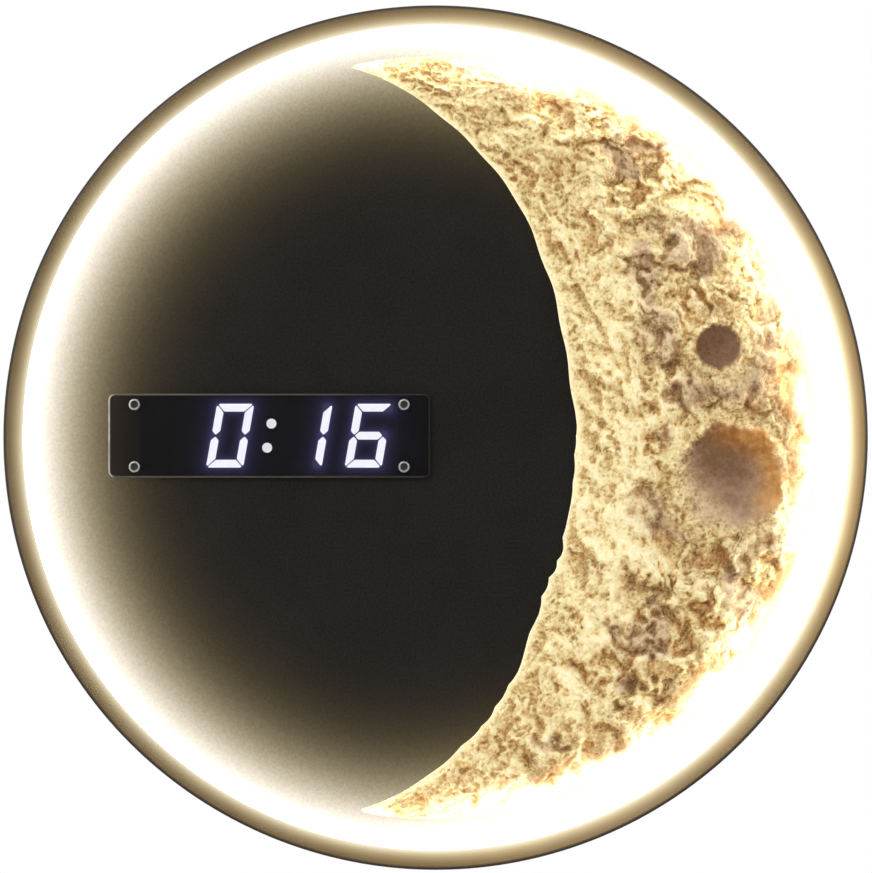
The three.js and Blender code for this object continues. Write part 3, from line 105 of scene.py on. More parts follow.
class Shader:
    """The node tree of one material while it is put together."""

    USUAL = (0.3, 0.7)  # Range in which most values of a noise lie

    def __init__(self, name: str) -> None:
        """Starts a material with a Principled surface.

        Args:
            name: The material's name.
        """
        self.material = bpy.data.materials.new(name)
        self.material.use_nodes = True
        self.tree = self.material.node_tree
        self.surface = next(n for n in self.tree.nodes if n.type == "BSDF_PRINCIPLED")
        self.place = self.tree.nodes.new("ShaderNodeTexCoord").outputs["Object"]

    def feed(self, socket: Socket, value: object) -> None:
        """Links a socket to another, or sets it to a constant.

        Args:
            socket: The input.
            value: A socket, a number or a colour.
        """
        if isinstance(value, bpy.types.NodeSocket):
            self.tree.links.new(value, socket)
        elif socket.type == "RGBA":
            socket.default_value = (*value, 1.0)
        else:
            socket.default_value = value

    def node(self, kind: str, inputs: dict, **settings: object) -> bpy.types.Node:
        """Adds a node.

        Args:
            kind: The node's type.
            inputs: A value or socket for each named or numbered input.
            settings: The node's own properties.

        Returns:
            The node.
        """
        made = self.tree.nodes.new(kind)
        for key, value in settings.items():
            setattr(made, key, value)
        for key, value in inputs.items():
            self.feed(made.inputs[key], value)
        return made

    def set(self, values: dict[str, object]) -> None:
        """Sets each named input of the surface to a value, or links it to a socket."""
        for key, value in values.items():
            self.feed(self.surface.inputs[key], value)

    def glow(self, colour: object, strength: float = 1.0) -> None:
        """Lets the surface send out light."""
        self.set({"Emission Color": colour, "Emission Strength": strength})

    def calc(self, operation: str, *values: object) -> Socket:
        """Returns the result of a Math node's operation on some values."""
        return self.node("ShaderNodeMath", dict(enumerate(values)), operation=operation).outputs[0]

    def noise(self, size: float, detail: float = 3.0, roughness: float = 0.5) -> Socket:
        """Returns cloudy noise, from the width of its blotches, its finer layers and their weight."""
        inputs = {"Vector": self.place, "Scale": 1 / size, "Detail": detail, "Roughness": roughness}
        return self.node("ShaderNodeTexNoise", inputs).outputs["Fac"]

    def varied(self, noise: Socket, start: float, end: float) -> Socket:
        """Returns a number that goes from start to end over the noise's usual range."""
        return self.span(noise, *self.USUAL, start, end)

    def mottled(self, noise: Socket, dark: Colour, light: Colour) -> Socket:
        """Returns a colour that goes from dark to light over the noise's usual range."""
        return self.ramp(noise, *zip(self.USUAL, (dark, light)))

    def cells(self, size: float, bend: float = 0.0) -> Socket:
        """Adds a field of cells.

        Args:
            size: Width of a cell.
            bend: How far the cells are pulled out of shape.

        Returns:
            The distance to the nearest cell's middle, in cells.
        """
        inputs = {"Vector": self.place, "Scale": 1 / size}
        pull = self.node("ShaderNodeTexNoise", inputs).outputs["Color"]
        moved = {0: pull, 1: (bend, bend, bend), 2: self.place}
        inputs["Vector"] = self.node("ShaderNodeVectorMath", moved, operation="MULTIPLY_ADD").outputs[0]
        return self.node("ShaderNodeTexVoronoi", inputs).outputs["Distance"]

    def ramp(self, factor: Socket, *stops: tuple[float, Colour]) -> Socket:
        """Adds a run of colours.

        Args:
            factor: Where in the run.
            stops: Place and colour of each stop.

        Returns:
            The colour.
        """
        made = self.node("ShaderNodeValToRGB", {"Fac": factor})
        elements = made.color_ramp.elements
        while len(elements) < len(stops):
            elements.new(0.5)
        for element, (place, colour) in zip(elements, stops):
            element.position = place
            element.color = (*colour, 1.0)
        return made.outputs["Color"]

    def span(self, value: Socket, low: float, high: float, start: float = 0.0, end: float = 1.0) -> Socket:
        """Carries a value smoothly from one range to another, and holds it at the ends.

        Args:
            value: What is carried.
            low: Value that gives start.
            high: Value that gives end.
            start: Result at low.
            end: Result at high.

        Returns:
            The result.
        """
        inputs = {"Value": value, "From Min": low, "From Max": high, "To Min": start, "To Max": end}
        made = self.node("ShaderNodeMapRange", inputs, interpolation_type="SMOOTHSTEP")
        return made.outputs["Result"]

    def mix(self, factor: object, first: object, second: object, blend: str = "MIX") -> Socket:
        """Mixes two colours.

        Args:
            factor: Share of the second.
            first: The colour below.
            second: The colour above.
            blend: How they mix.

        Returns:
            The colour.
        """
        made = self.node("ShaderNodeMix", {}, data_type="RGBA", blend_type=blend)
        for index, value in ((0, factor), (6, first), (7, second)):
            self.feed(made.inputs[index], value)
        return made.outputs[2]

    def bump(self, height: Socket, depth: float) -> None:
        """Roughens the surface by a height from 0 to 1, where 1 measures the depth."""
        made = self.node("ShaderNodeBump", {"Height": height, "Distance": depth})
        self.feed(self.surface.inputs["Normal"], made.outputs["Normal"])

    def axes(self) -> dict[str, Socket]:
        """Returns the place on the clock as its X, Y and Z."""
        parts = self.node("ShaderNodeSeparateXYZ", {"Vector": self.place}).outputs
        return {name: parts[name] for name in "XYZ"}

    def radius(self) -> Socket:
        """Returns the distance from the clock's axis."""
        axes = self.axes()
        squares = [self.calc("MULTIPLY", axes[name], axes[name]) for name in "XZ"]
        return self.calc("SQRT", self.calc("ADD", *squares))

    def falloff(
        self, distance: Socket, peak: Colour, decay: Colour, scale: Socket, shoulder: float = 0.0
    ) -> Socket:
        """Lets a glow fade with distance, each colour at its own rate.

        Args:
            distance: How far from the light.
            peak: Strength of each colour at no distance.
            decay: Distance in which each colour falls to about a third.
            scale: What the whole glow is multiplied by.
            shoulder: How much the brightest part is held back.

        Returns:
            The glow's colour.
        """
        channels = {}
        for name, strength, length in zip(("Red", "Green", "Blue"), peak, decay):
            fade = self.calc("EXPONENT", self.calc("DIVIDE", distance, -length))
            light = self.calc("MULTIPLY", self.calc("MULTIPLY", fade, strength), scale)
            channels[name] = self.calc("DIVIDE", light, self.calc("MULTIPLY_ADD", light, shoulder, 1.0))
        return self.node("ShaderNodeCombineColor", channels).outputs["Color"]


def shaded(colour: Colour, factor: float, most: float = 1.0) -> Colour:
    """Returns a colour with each part multiplied, up to a limit."""
    return tuple(min(part * factor, most) for part in colour)


class Finish(Protocol):
    """What every finish has."""

    name: str

    def material(self) -> Material:
        """Returns a new material with this finish."""


@dataclass(frozen=True)
class SprayedPaint:
    """Sprayed paint on sheet steel, with an orange-peel grain."""

    name: str
    colour: Colour
    roughness: float = 0.5
    gloss: float = 0.4  # Specular level
    grain: float = 0.0011  # Width of the grain
    depth: float = 0.00006  # Height of the grain
    speckle: float = 0.3  # How far the grain's colour strays
    spread: float = 0.07  # How far the roughness strays
    grain_range: Point = (0.32, 0.68)  # Range of the noise over which the colour strays
    blotch_range: Point = (0.35, 0.65)  # Range of the noise over which the roughness strays

    def shader(self) -> Shader:
        """Returns the paint's node tree."""
        shader = Shader(self.name)
        grain = shader.noise(self.grain, 2.0, 0.6)
        blotches = shader.noise(self.grain * 30, 4.0)
        low, high = shaded(self.colour, 1 - self.speckle), shaded(self.colour, 1 + self.speckle)
        shader.set(
            {
                "Base Color": shader.ramp(grain, *zip(self.grain_range, (low, high))),
                "Roughness": shader.span(
                    blotches, *self.blotch_range, self.roughness - self.spread, self.roughness + self.spread
                ),
                "Specular IOR Level": self.gloss,
            }
        )
        shader.bump(grain, self.depth)
        return shader

    def material(self) -> Material:
        """Returns the paint as a material."""
        return self.shader().material


@dataclass(frozen=True)
class RimPaintWithPaintedGlow(SprayedPaint):
    """Paint of the hoop, with painted light on its sloping return in place of the light ring below it."""

    lip: float = 0.1915  # Radius where the return is brightest
    peak: Colour = (0.95, 0.85, 0.60)  # Strength of the light there
    decay: Colour = (0.0035, 0.0029, 0.0021)  # How far up the return it reaches
    reach: Point = (-0.0375, -0.0395)  # Depths between which the light begins, from dark to lit
    edge: Point = (0.1994, 0.1984)  # Radii between which it ends at the bead, from dark to lit
    middle: Point = (-0.14, 0.0)  # Places along X between which the light grows towards the relief
    level: Point = (0.69, 0.84)  # Level of the light before and after that
    right: Point = (0.15, 0.2)  # Places along X between which it grows again, beside the relief
    extra: float = 0.64  # What is added there

    def shader(self) -> Shader:
        """Returns the paint's node tree with the painted light on it."""
        shader = super().shader()
        axes, radius = shader.axes(), shader.radius()
        scale = shader.calc("MULTIPLY", shader.span(axes["Y"], *self.reach), shader.span(radius, *self.edge))
        level = shader.span(axes["X"], *self.middle, *self.level)
        extra = shader.span(axes["X"], *self.right, 0.0, self.extra)
        scale = shader.calc("MULTIPLY", scale, shader.calc("ADD", level, extra))
        distance = shader.calc("SUBTRACT", radius, self.lip)
        # Painted light: the return glows most near the light ring and beside the relief, in place of the
        # ring's light on it.
        shader.glow(shader.falloff(distance, self.peak, self.decay, scale))
        return shader


@dataclass(frozen=True)
class PanelPaintWithPaintedGlow(SprayedPaint):
    """Matte paint of the face panel, with a painted glow around its edge in place of the light ring's wash.
    """

    ring: float = 0.191  # Radius where the wash starts
    peak: Colour = (4.2, 3.85, 3.6)  # Its strength there
    decay: Colour = (0.0111, 0.0106, 0.0091)  # How far it reaches inwards
    shoulder: float = 0.42  # How much its brightest part is held back
    beside_relief: float = 2.0  # How much stronger it is on the right, between two white walls
    turn: Point = (-0.04, 0.06)  # Places along X between which that begins

    def shader(self) -> Shader:
        """Returns the paint's node tree with the painted wash of light on it."""
        shader = super().shader()
        scale = shader.span(shader.axes()["X"], *self.turn, 1.0, self.beside_relief)
        uneven = shader.span(shader.noise(0.0012, 3.0, 0.7), 0.25, 0.75, 0.86, 1.14)
        scale = shader.calc("MULTIPLY", scale, uneven)
        distance = shader.calc("SUBTRACT", self.ring, shader.radius())
        # Painted light: the panel glows near its edge, fading inwards, in place of the light ring's wash.
        shader.glow(shader.falloff(distance, self.peak, self.decay, scale, self.shoulder))
        return shader


@dataclass(frozen=True)
class MoonCastWithPaintedLight:
    """Sandy cast stone of the relief: cream ridges, brown hollows, and painted shade and ring light on them.
    """

    name: str = "moon_cast"
    attribute: str = "relief_tone_and_painted_light"  # Per-vertex colour: tone with painted shade, painted glare, sand, painted ring light
    stone: tuple[tuple[float, Colour], ...] = (  # Colours from the darkest tone to the lightest, painted shade included
        (0.0, (0.190, 0.095, 0.033)),
        (0.2, (0.36, 0.214, 0.083)),
        (0.4, (0.57, 0.412, 0.182)),
        (0.6, (0.78, 0.638, 0.336)),
        (0.8, (0.93, 0.812, 0.486)),
        (1.0, (1.0, 0.900, 0.600)),
    )
    # Colours of the sandy floors, from dark to light
    sand: Pair = ((0.165, 0.092, 0.048), (0.61, 0.420, 0.290))
    # Colours of painted ring light in a hollow, from dark to light
    painted_warm_light: Pair = ((0.30, 0.118, 0.026), (0.80, 0.420, 0.125))
    # Colours of the glare in a hollow and on a ridge
    glare: Pair = ((1.0, 0.56, 0.20), (1.0, 0.92, 0.74))
    glare_strength: float = 2.4  # How bright the glare is at the limb
    # Share of its colour that the whole relief sends out as painted light, in place of the ring in the hollow
    # rim
    glow: float = 0.34

    def material(self) -> Material:
        """Returns the stone as a material."""
        shader = Shader(self.name)
        data = shader.node("ShaderNodeAttribute", {}, attribute_name=self.attribute).outputs
        parts = shader.node("ShaderNodeSeparateColor", {"Color": data["Color"]}).outputs
        grit, pores = shader.noise(0.0015, 3.0, 0.7), shader.cells(0.0022, 0.0030)
        # Painted shade: the middles of the pores are darkened.
        painted_pore_shade = shader.span(pores, 0.1, 0.6, -0.13, 0.06)
        speckle = shader.calc("ADD", shader.varied(grit, -0.14, 0.14), painted_pore_shade)
        speckle = shader.calc("MULTIPLY", speckle, shader.span(parts["Blue"], 0.5, 0.95, 1.0, 0.25))
        tone = shader.calc("ADD", parts["Red"], speckle)
        stone = shader.ramp(tone, *self.stone)
        colour = shader.mix(parts["Blue"], stone, shader.ramp(tone, (0.0, self.sand[0]), (0.8, self.sand[1])))
        # Painted ring light: hollows near the limb turn orange.
        painted_warm_light = shader.ramp(tone, (0.0, self.painted_warm_light[0]), (0.8, self.painted_warm_light[1]))
        colour = shader.mix(data["Alpha"], colour, painted_warm_light)
        # Painted light: the glare and a share of the stone's colour are sent out as emission, in place of the
        # ring's light.
        glare = shader.mix(tone, *(shaded(part, self.glare_strength, math.inf) for part in self.glare))
        glare = shader.mix(1.0, glare, parts["Green"], "MULTIPLY")
        glow = shader.mix(1.0, colour, (self.glow,) * 3, "MULTIPLY")
        shader.set(
            {
                "Base Color": colour,
                "Roughness": shader.varied(grit, 0.82, 0.95),
                "Specular IOR Level": 0.15,
            }
        )
        shader.glow(shader.mix(1.0, glare, glow, "ADD"))
        shader.bump(shader.calc("ADD", grit, pores), 0.0008)
        return shader.material


@dataclass(frozen=True)
class OpalGlow:
    """Opal plastic with the LED ring shining through it."""

    name: str = "opal_plastic"
    # The plastic, from dark to light
    plastic: Pair = ((0.86, 0.84, 0.80), (0.92, 0.90, 0.87))
    # Colour of the light at its dimmest and brightest
    light: Pair = ((1.0, 0.88, 0.70), (1.0, 0.93, 0.80))
    strength: float = 7.0  # How bright it is

    def material(self) -> Material:
        """Returns the plastic as a material."""
        shader = Shader(self.name)
        cloud = shader.noise(0.02, 2.0)
        colour = shader.mottled(cloud, *self.plastic)
        shader.set({"Base Color": colour, "Roughness": shader.varied(cloud, 0.4, 0.5)})
        shader.glow(shader.mix(cloud, *self.light), self.strength)
        return shader.material


@dataclass(frozen=True)
class SmokedAcrylic:
    """Smoke-tinted acrylic of the display's lens, with the digits' halo in it."""

    name: str = "tinted_acrylic"
    tint: Colour = (0.010, 0.009, 0.010)  # Colour of the smoke
    cover: float = 0.6  # Share of the light that one face of the lens holds back
    attribute: str = "halo"  # Per-vertex number that holds the halo
    halo: Colour = (0.060, 0.054, 0.170)  # Colour of the halo

    def material(self) -> Material:
        """Returns the acrylic as a material."""
        shader = Shader(self.name)
        halo = shader.node("ShaderNodeAttribute", {}, attribute_name=self.attribute).outputs["Fac"]
        smoke = shader.noise(0.03, 3.0)
        shader.set(
            {
                "Base Color": shader.mottled(smoke, shaded(self.tint, 0.85), shaded(self.tint, 1.15)),
                "Roughness": shader.varied(shader.noise(0.004, 3.0), 0.10, 0.16),
                "Alpha": self.cover,
                "Specular IOR Level": 0.05,
            }
        )
        shader.glow(shader.mix(halo, BLACK, self.halo))
        return shader.material


@dataclass(frozen=True)
class PolishedEdgeWithPaintedLight:
    """Flame-polished edge of the acrylic, with painted light along it in place of the ring's light that it
    catches.
    """

    name: str = "acrylic_edge"
    light: Colour = (0.60, 0.56, 0.50)  # Colour of the painted light
    lit_end: Point = (-0.1510, -0.1485)  # Places along X between which the end beside the ring stops
    long_sides: Point = (-0.15, -0.02)  # Places along X between which the light in the long sides fades
    # Places along Z between which the light grows from the bottom side to the top
    upright: Point = (-0.015, 0.018)
    uneven: Point = (0.65, 1.15)  # Least and most of the light that blotches let through

    def material(self) -> Material:
        """Returns the edge as a material."""
        shader = Shader(self.name)
        axes = shader.axes()
        end = shader.span(axes["X"], *self.lit_end, 0.52, 0.0)
        along = shader.span(axes["X"], *self.long_sides, 0.076, 0.004)
        sides = shader.calc("MULTIPLY", along, shader.span(axes["Z"], *self.upright, 0.5, 1.2))
        uneven = shader.varied(shader.noise(0.006, 3.0), *self.uneven)
        carried = shader.calc("MULTIPLY", shader.calc("ADD", end, sides), uneven)
        shader.set(
            {
                "Base Color": shader.mix(uneven, (0.012, 0.012, 0.012), (0.022, 0.021, 0.021)),
                "Roughness": shader.span(uneven, *self.uneven, 0.12, 0.3),
                "Specular IOR Level": 0.08,
            }
        )
        # Painted light: the edge glows most at its end beside the ring, in place of the ring's light that it
        # catches.
        shader.glow(shader.mix(carried, BLACK, self.light))
        return shader.material


@dataclass(frozen=True)
class LightGuide:
    """Milky light guide of a segment or dot, lit or dark."""

    name: str
    colour: Colour
    # Colour of its light in its duller and brighter places
    light: Pair = ((0.92, 0.93, 1.0), (1.0, 1.0, 1.0))
    strength: float = 0.0  # How bright it is; 0 is dark

    def material(self) -> Material:
        """Returns the guide as a material."""
        shader = Shader(self.name)
        cloud = shader.noise(0.003, 2.0)
        colour = shader.mottled(cloud, shaded(self.colour, 0.85), shaded(self.colour, 1.1))
        shader.set({"Base Color": colour, "Roughness": shader.varied(cloud, 0.45, 0.6)})
        shader.glow(shader.mix(cloud, *self.light), self.strength)
        return shader.material


@dataclass(frozen=True)
class PlatedMetal:
    """Turned or pressed metal with a plated surface."""

    name: str
    colour: Colour
    roughness: float = 0.3

    def material(self) -> Material:
        """Returns the metal as a material."""
        shader = Shader(self.name)
        cloud = shader.noise(0.004, 4.0, 0.6)
        scuffs = shader.noise(0.0006, 3.0, 0.7)
        colour = shader.mottled(cloud, shaded(self.colour, 0.86), shaded(self.colour, 1.08))
        rough = shader.varied(scuffs, self.roughness - 0.1, self.roughness + 0.1)
        shader.set({"Base Color": colour, "Metallic": 1.0, "Roughness": rough})
        shader.bump(scuffs, 0.00002)
        return shader.material


@dataclass(frozen=True)
class Moulding:
    """Moulded plastic or rubber with a spark-eroded texture."""

    name: str
    colour: Colour
    roughness: float = 0.5
    texture: float = 0.0005  # Width of the texture's grains

    def material(self) -> Material:
        """Returns the plastic as a material."""
        shader = Shader(self.name)
        grain = shader.noise(self.texture, 2.0, 0.6)
        flow = shader.noise(0.018, 4.0)
        colour = shader.mottled(flow, shaded(self.colour, 0.88), shaded(self.colour, 1.1))
        rough = shader.varied(grain, self.roughness - 0.08, self.roughness + 0.08)
        shader.set({"Base Color": colour, "Roughness": rough})
        shader.bump(grain, 0.00003)
        return shader.material


@dataclass(frozen=True)
class BoardMask:
    """Solder mask of a circuit board, with the raised lines of the tracks below it."""

    name: str = "circuit_board"
    mask: Colour = (0.012, 0.075, 0.03)  # Colour between the tracks
    track: Colour = (0.03, 0.16, 0.065)  # Colour over a track
    pitch: float = 0.0024  # Distance between tracks

    def material(self) -> Material:
        """Returns the board as a material."""
        shader = Shader(self.name)
        turned_place = {"Vector": shader.place, "Rotation": (math.pi / 2, 0.0, 0.0)}
        inputs = {
            "Vector": shader.node("ShaderNodeMapping", turned_place).outputs["Vector"],
            "Scale": 1 / self.pitch,
            "Mortar Size": 0.07,
            "Brick Width": 4.5,
            "Row Height": 1.0,
        }
        gap = shader.node("ShaderNodeTexBrick", inputs, offset=0.37).outputs["Fac"]
        shade = shader.noise(0.01, 3.0)
        colour = shader.mix(gap, self.mask, self.track)
        colour = shader.mix(shade, shader.mix(0.25, colour, BLACK), colour)
        shader.set({"Base Color": colour, "Roughness": shader.varied(shade, 0.25, 0.4)})
        shader.bump(gap, 0.00004)
        return shader.material


@dataclass
class Palette:
    """The clock's finishes, each made into a material once."""

    finishes: dict[str, Finish]  # A finish for each of the record's material slots
    made: dict[str, Material] = field(default_factory=dict)  # The materials made so far

    def of(self, slot: str) -> Material:
        """Returns the material of one of the record's slots."""
        if slot not in self.made:
            self.made[slot] = self.finishes[slot].material()
        return self.made[slot]


def clock_finishes() -> dict[str, Finish]:
    """Returns the finish of each of the record's material slots."""
    finishes = [
        RimPaintWithPaintedGlow("hoop_paint", (0.030, 0.023, 0.015), roughness=0.42, gloss=0.35),
        PanelPaintWithPaintedGlow("panel_paint", (0.013, 0.012, 0.011), roughness=0.68, gloss=0.10),
        SprayedPaint("cover_paint", (0.014, 0.014, 0.013), roughness=0.55, grain=0.0016),
        MoonCastWithPaintedLight(),
        OpalGlow(),
        Moulding("strip_board", (0.80, 0.78, 0.70), roughness=0.4),
        SmokedAcrylic(),
        PlatedMetal("steel", (0.66, 0.65, 0.63), roughness=0.28),
        PlatedMetal("brass", (0.72, 0.53, 0.24), roughness=0.32),
        Moulding("black_plastic", (0.012, 0.012, 0.013), roughness=0.55),
        LightGuide("light_guide", (0.02, 0.02, 0.022)),
        BoardMask(),
        Moulding("white_plastic", (0.74, 0.73, 0.70), roughness=0.42),
        Moulding("rubber", (0.02, 0.02, 0.02), roughness=0.72, texture=0.0008),
    ]
    return {finish.name: finish for finish in finishes}


def arc(centre: Point, radius: float, start: float, end: float, steps: int) -> list[Point]:
    """Returns points on an arc about a centre, from one angle to another in degrees, both included."""
    angles = [math.radians(start + (end - start) * i / steps) for i in range(steps + 1)]
    return [(centre[0] + radius * math.cos(a), centre[1] + radius * math.sin(a)) for a in angles]


def wire(bm: BMesh, points: Sequence[Point]) -> None:
    """Adds a closed wire across the clock's face.

    Args:
        bm: Where it goes.
        points: Its corners as X and Z.
    """
    corners = [bm.verts.new((x, 0.0, z)) for x, z in points]
    for first, second in zip(corners, corners[1:] + corners[:1]):
        bm.edges.new((first, second))


def facing_front(centre: Point) -> Matrix:
    """Returns the turn and shift of a flat shape onto the clock's face, about an X and Z."""
    return Matrix.Translation((centre[0], 0.0, centre[1])) @ Matrix.Rotation(math.pi / 2, 4, "X")


def round_wire(bm: BMesh, radius: float, centre: Point, segments: int) -> list[BMVert]:
    """Adds a circle across the clock's face, and returns its vertices."""
    place = facing_front(centre)
    return bmesh.ops.create_circle(bm, segments=segments, radius=radius, matrix=place)["verts"]


def round_off(bm: BMesh, parts: Sequence, width: float, segments: int, affect: str) -> list[BMVert]:
    """Bevels some edges or corners.

    Args:
        bm: The shape.
        parts: The edges or vertices.
        width: Width of the bevel.
        segments: Number of facets across it.
        affect: EDGES or VERTICES.

    Returns:
        The new vertices.
    """
    settings = {"offset_type": "OFFSET", "profile": 0.5, "material": -1, "clamp_overlap": affect == "EDGES"}
    made = bmesh.ops.bevel(bm, geom=parts, offset=width, segments=segments, affect=affect, **settings)
    return made["verts"]


def rounded_face(bm: BMesh, size: Point, centre: Point, corner: float, segments: int) -> BMFace:
    """Adds a rectangle with round corners, across the clock's face.

    Args:
        bm: Where it goes.
        size: Its width and height.
        centre: Its X and Z.
        corner: Radius of its corners.
        segments: Number of chords in a corner.

    Returns:
        The face.
    """
    square = bmesh.ops.create_grid(bm, x_segments=1, y_segments=1, size=0.5)["verts"]
    bmesh.ops.scale(bm, vec=(size[0], size[1], 1.0), verts=square)
    bmesh.ops.transform(bm, matrix=facing_front(centre), verts=square)
    rounded = round_off(bm, square, corner, segments, "VERTICES")
    return max((face for vert in rounded for face in vert.link_faces), key=lambda face: face.calc_area())


def fill_wires(bm: BMesh, wires: Sequence[BMEdge]) -> None:
    """Fills wires with a flat sheet; a wire inside another is a hole."""
    bmesh.ops.triangle_fill(bm, use_beauty=True, use_dissolve=False, edges=wires, normal=(0, -1, 0))


def thicken(bm: BMesh, faces: Iterable, shift: float) -> list[BMVert]:
    """Makes flat faces a closed slab.

    Args:
        bm: Where they are.
        faces: The faces.
        shift: Thickness along Y.

    Returns:
        The vertices of the new side.
    """
    grown = bmesh.ops.extrude_face_region(bm, geom=list(faces))["geom"]
    moved = [part for part in grown if isinstance(part, BMVert)]
    bmesh.ops.translate(bm, verts=moved, vec=(0.0, shift, 0.0))
    return moved


def soften(bm: BMesh, width: float, segments: int, least: float) -> None:
    """Bevels every edge that is sharper than an angle.

    Args:
        bm: The shape.
        width: Width of the bevel.
        segments: Number of facets across it.
        least: The angle, in degrees.
    """
    bmesh.ops.recalc_face_normals(bm, faces=bm.faces[:])
    whole = (edge for edge in bm.edges if len(edge.link_faces) == 2)
    sharp = [edge for edge in whole if edge.calc_face_angle() > math.radians(least)]
    round_off(bm, sharp, width, segments, "EDGES")


def step(bm: BMesh, edges: Sequence[BMEdge], scale: float, shift: float) -> list[BMEdge]:
    """Extrudes a ring of edges along Z.

    Args:
        bm: Where they are.
        edges: The ring.
        scale: What its radius is multiplied by.
        shift: How far it goes.

    Returns:
        The new ring.
    """
    grown = bmesh.ops.extrude_edge_only(bm, edges=list(edges))["geom"]
    verts = [part for part in grown if isinstance(part, BMVert)]
    bmesh.ops.scale(bm, vec=(scale, scale, 1.0), verts=verts)
    bmesh.ops.translate(bm, vec=(0.0, 0.0, shift), verts=verts)
    return [part for part in grown if isinstance(part, BMEdge)]


def turned(profile: Sequence[Point], segments: int, centre: Point = (0.0, 0.0)) -> BMesh:
    """Turns a profile about an axis along Y.

    Args:
        profile: Radius and Y of each corner; it closes on itself unless it starts on the axis.
        segments: Number of steps in the turn.
        centre: X and Z of the axis.

    Returns:
        The turned shape.
    """
    bm = bmesh.new()
    corners = [bm.verts.new((radius, y, 0.0)) for radius, y in profile]
    pairs = list(zip(corners, corners[1:]))
    if profile[0][0] > 0.0:
        pairs.append((corners[-1], corners[0]))
    for first, second in pairs:
        bm.edges.new((first, second))
    bmesh.ops.spin(
        bm,
        geom=bm.verts[:] + bm.edges[:],
        cent=(0.0, 0.0, 0.0),
        axis=(0.0, 1.0, 0.0),
        angle=2 * math.pi,
        steps=segments,
        use_merge=True,
    )
    bmesh.ops.translate(bm, verts=bm.verts[:], vec=(centre[0], 0.0, centre[1]))
    return bm


def finish_piece(
    bm: BMesh,
    name: str,
    materials: Sequence[Material],
    slot: str,
    nodes: Sequence[str],
    body: str = CLOCK,
    crease: float = 35.0,
) -> Piece:
    """Makes a piece of a finished shape, which stands for CAD nodes and rides on a body.

    Args:
        bm: The shape; it is used up.
        name: The piece's name.
        materials: Its materials, by face index.
        slot: The record's slot that its finish comes from; not used.
        nodes: The CAD nodes that it replaces.
        body: The body that it rides on.
        crease: Angle past which an edge stays sharp, in degrees.

    Returns:
        The piece.
    """
    bmesh.ops.remove_doubles(bm, verts=bm.verts[:], dist=MERGE)
    bmesh.ops.recalc_face_normals(bm, faces=bm.faces[:])
    open_edges = sum(not edge.is_manifold for edge in bm.edges)
    mesh = bpy.data.meshes.new(name)
    bm.to_mesh(mesh)
    bm.free()
    for material in materials:
        mesh.materials.append(material)
    mesh.shade_smooth()
    mesh.set_sharp_from_angle(angle=math.radians(crease))
    piece = bpy.data.objects.new(name, mesh)
    bpy.context.scene.collection.objects.link(piece)
    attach(piece, body)
    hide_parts(*nodes)
    LOG.info("%s: %d faces, %d open edges", name, len(mesh.polygons), open_edges)
    return piece


def middle(node: str) -> Vector:
    """Returns the middle of a CAD node's box."""
    low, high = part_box(node)
    return (low + high) / 2


@dataclass
class Assembly:
    """A sub-assembly of the clock."""

    palette: Palette  # The clock's finishes

    def build(self) -> list[Piece]:
        """Returns the pieces, built and finished."""
        raise NotImplementedError

    def piece(self, bm: BMesh, name: str, slot: str, node: str, **settings: object) -> Piece:
        """Returns a piece in the plain finish of its slot, which stands for one CAD node."""
        return finish_piece(bm, name, [self.palette.of(slot)], slot, [node], **settings)


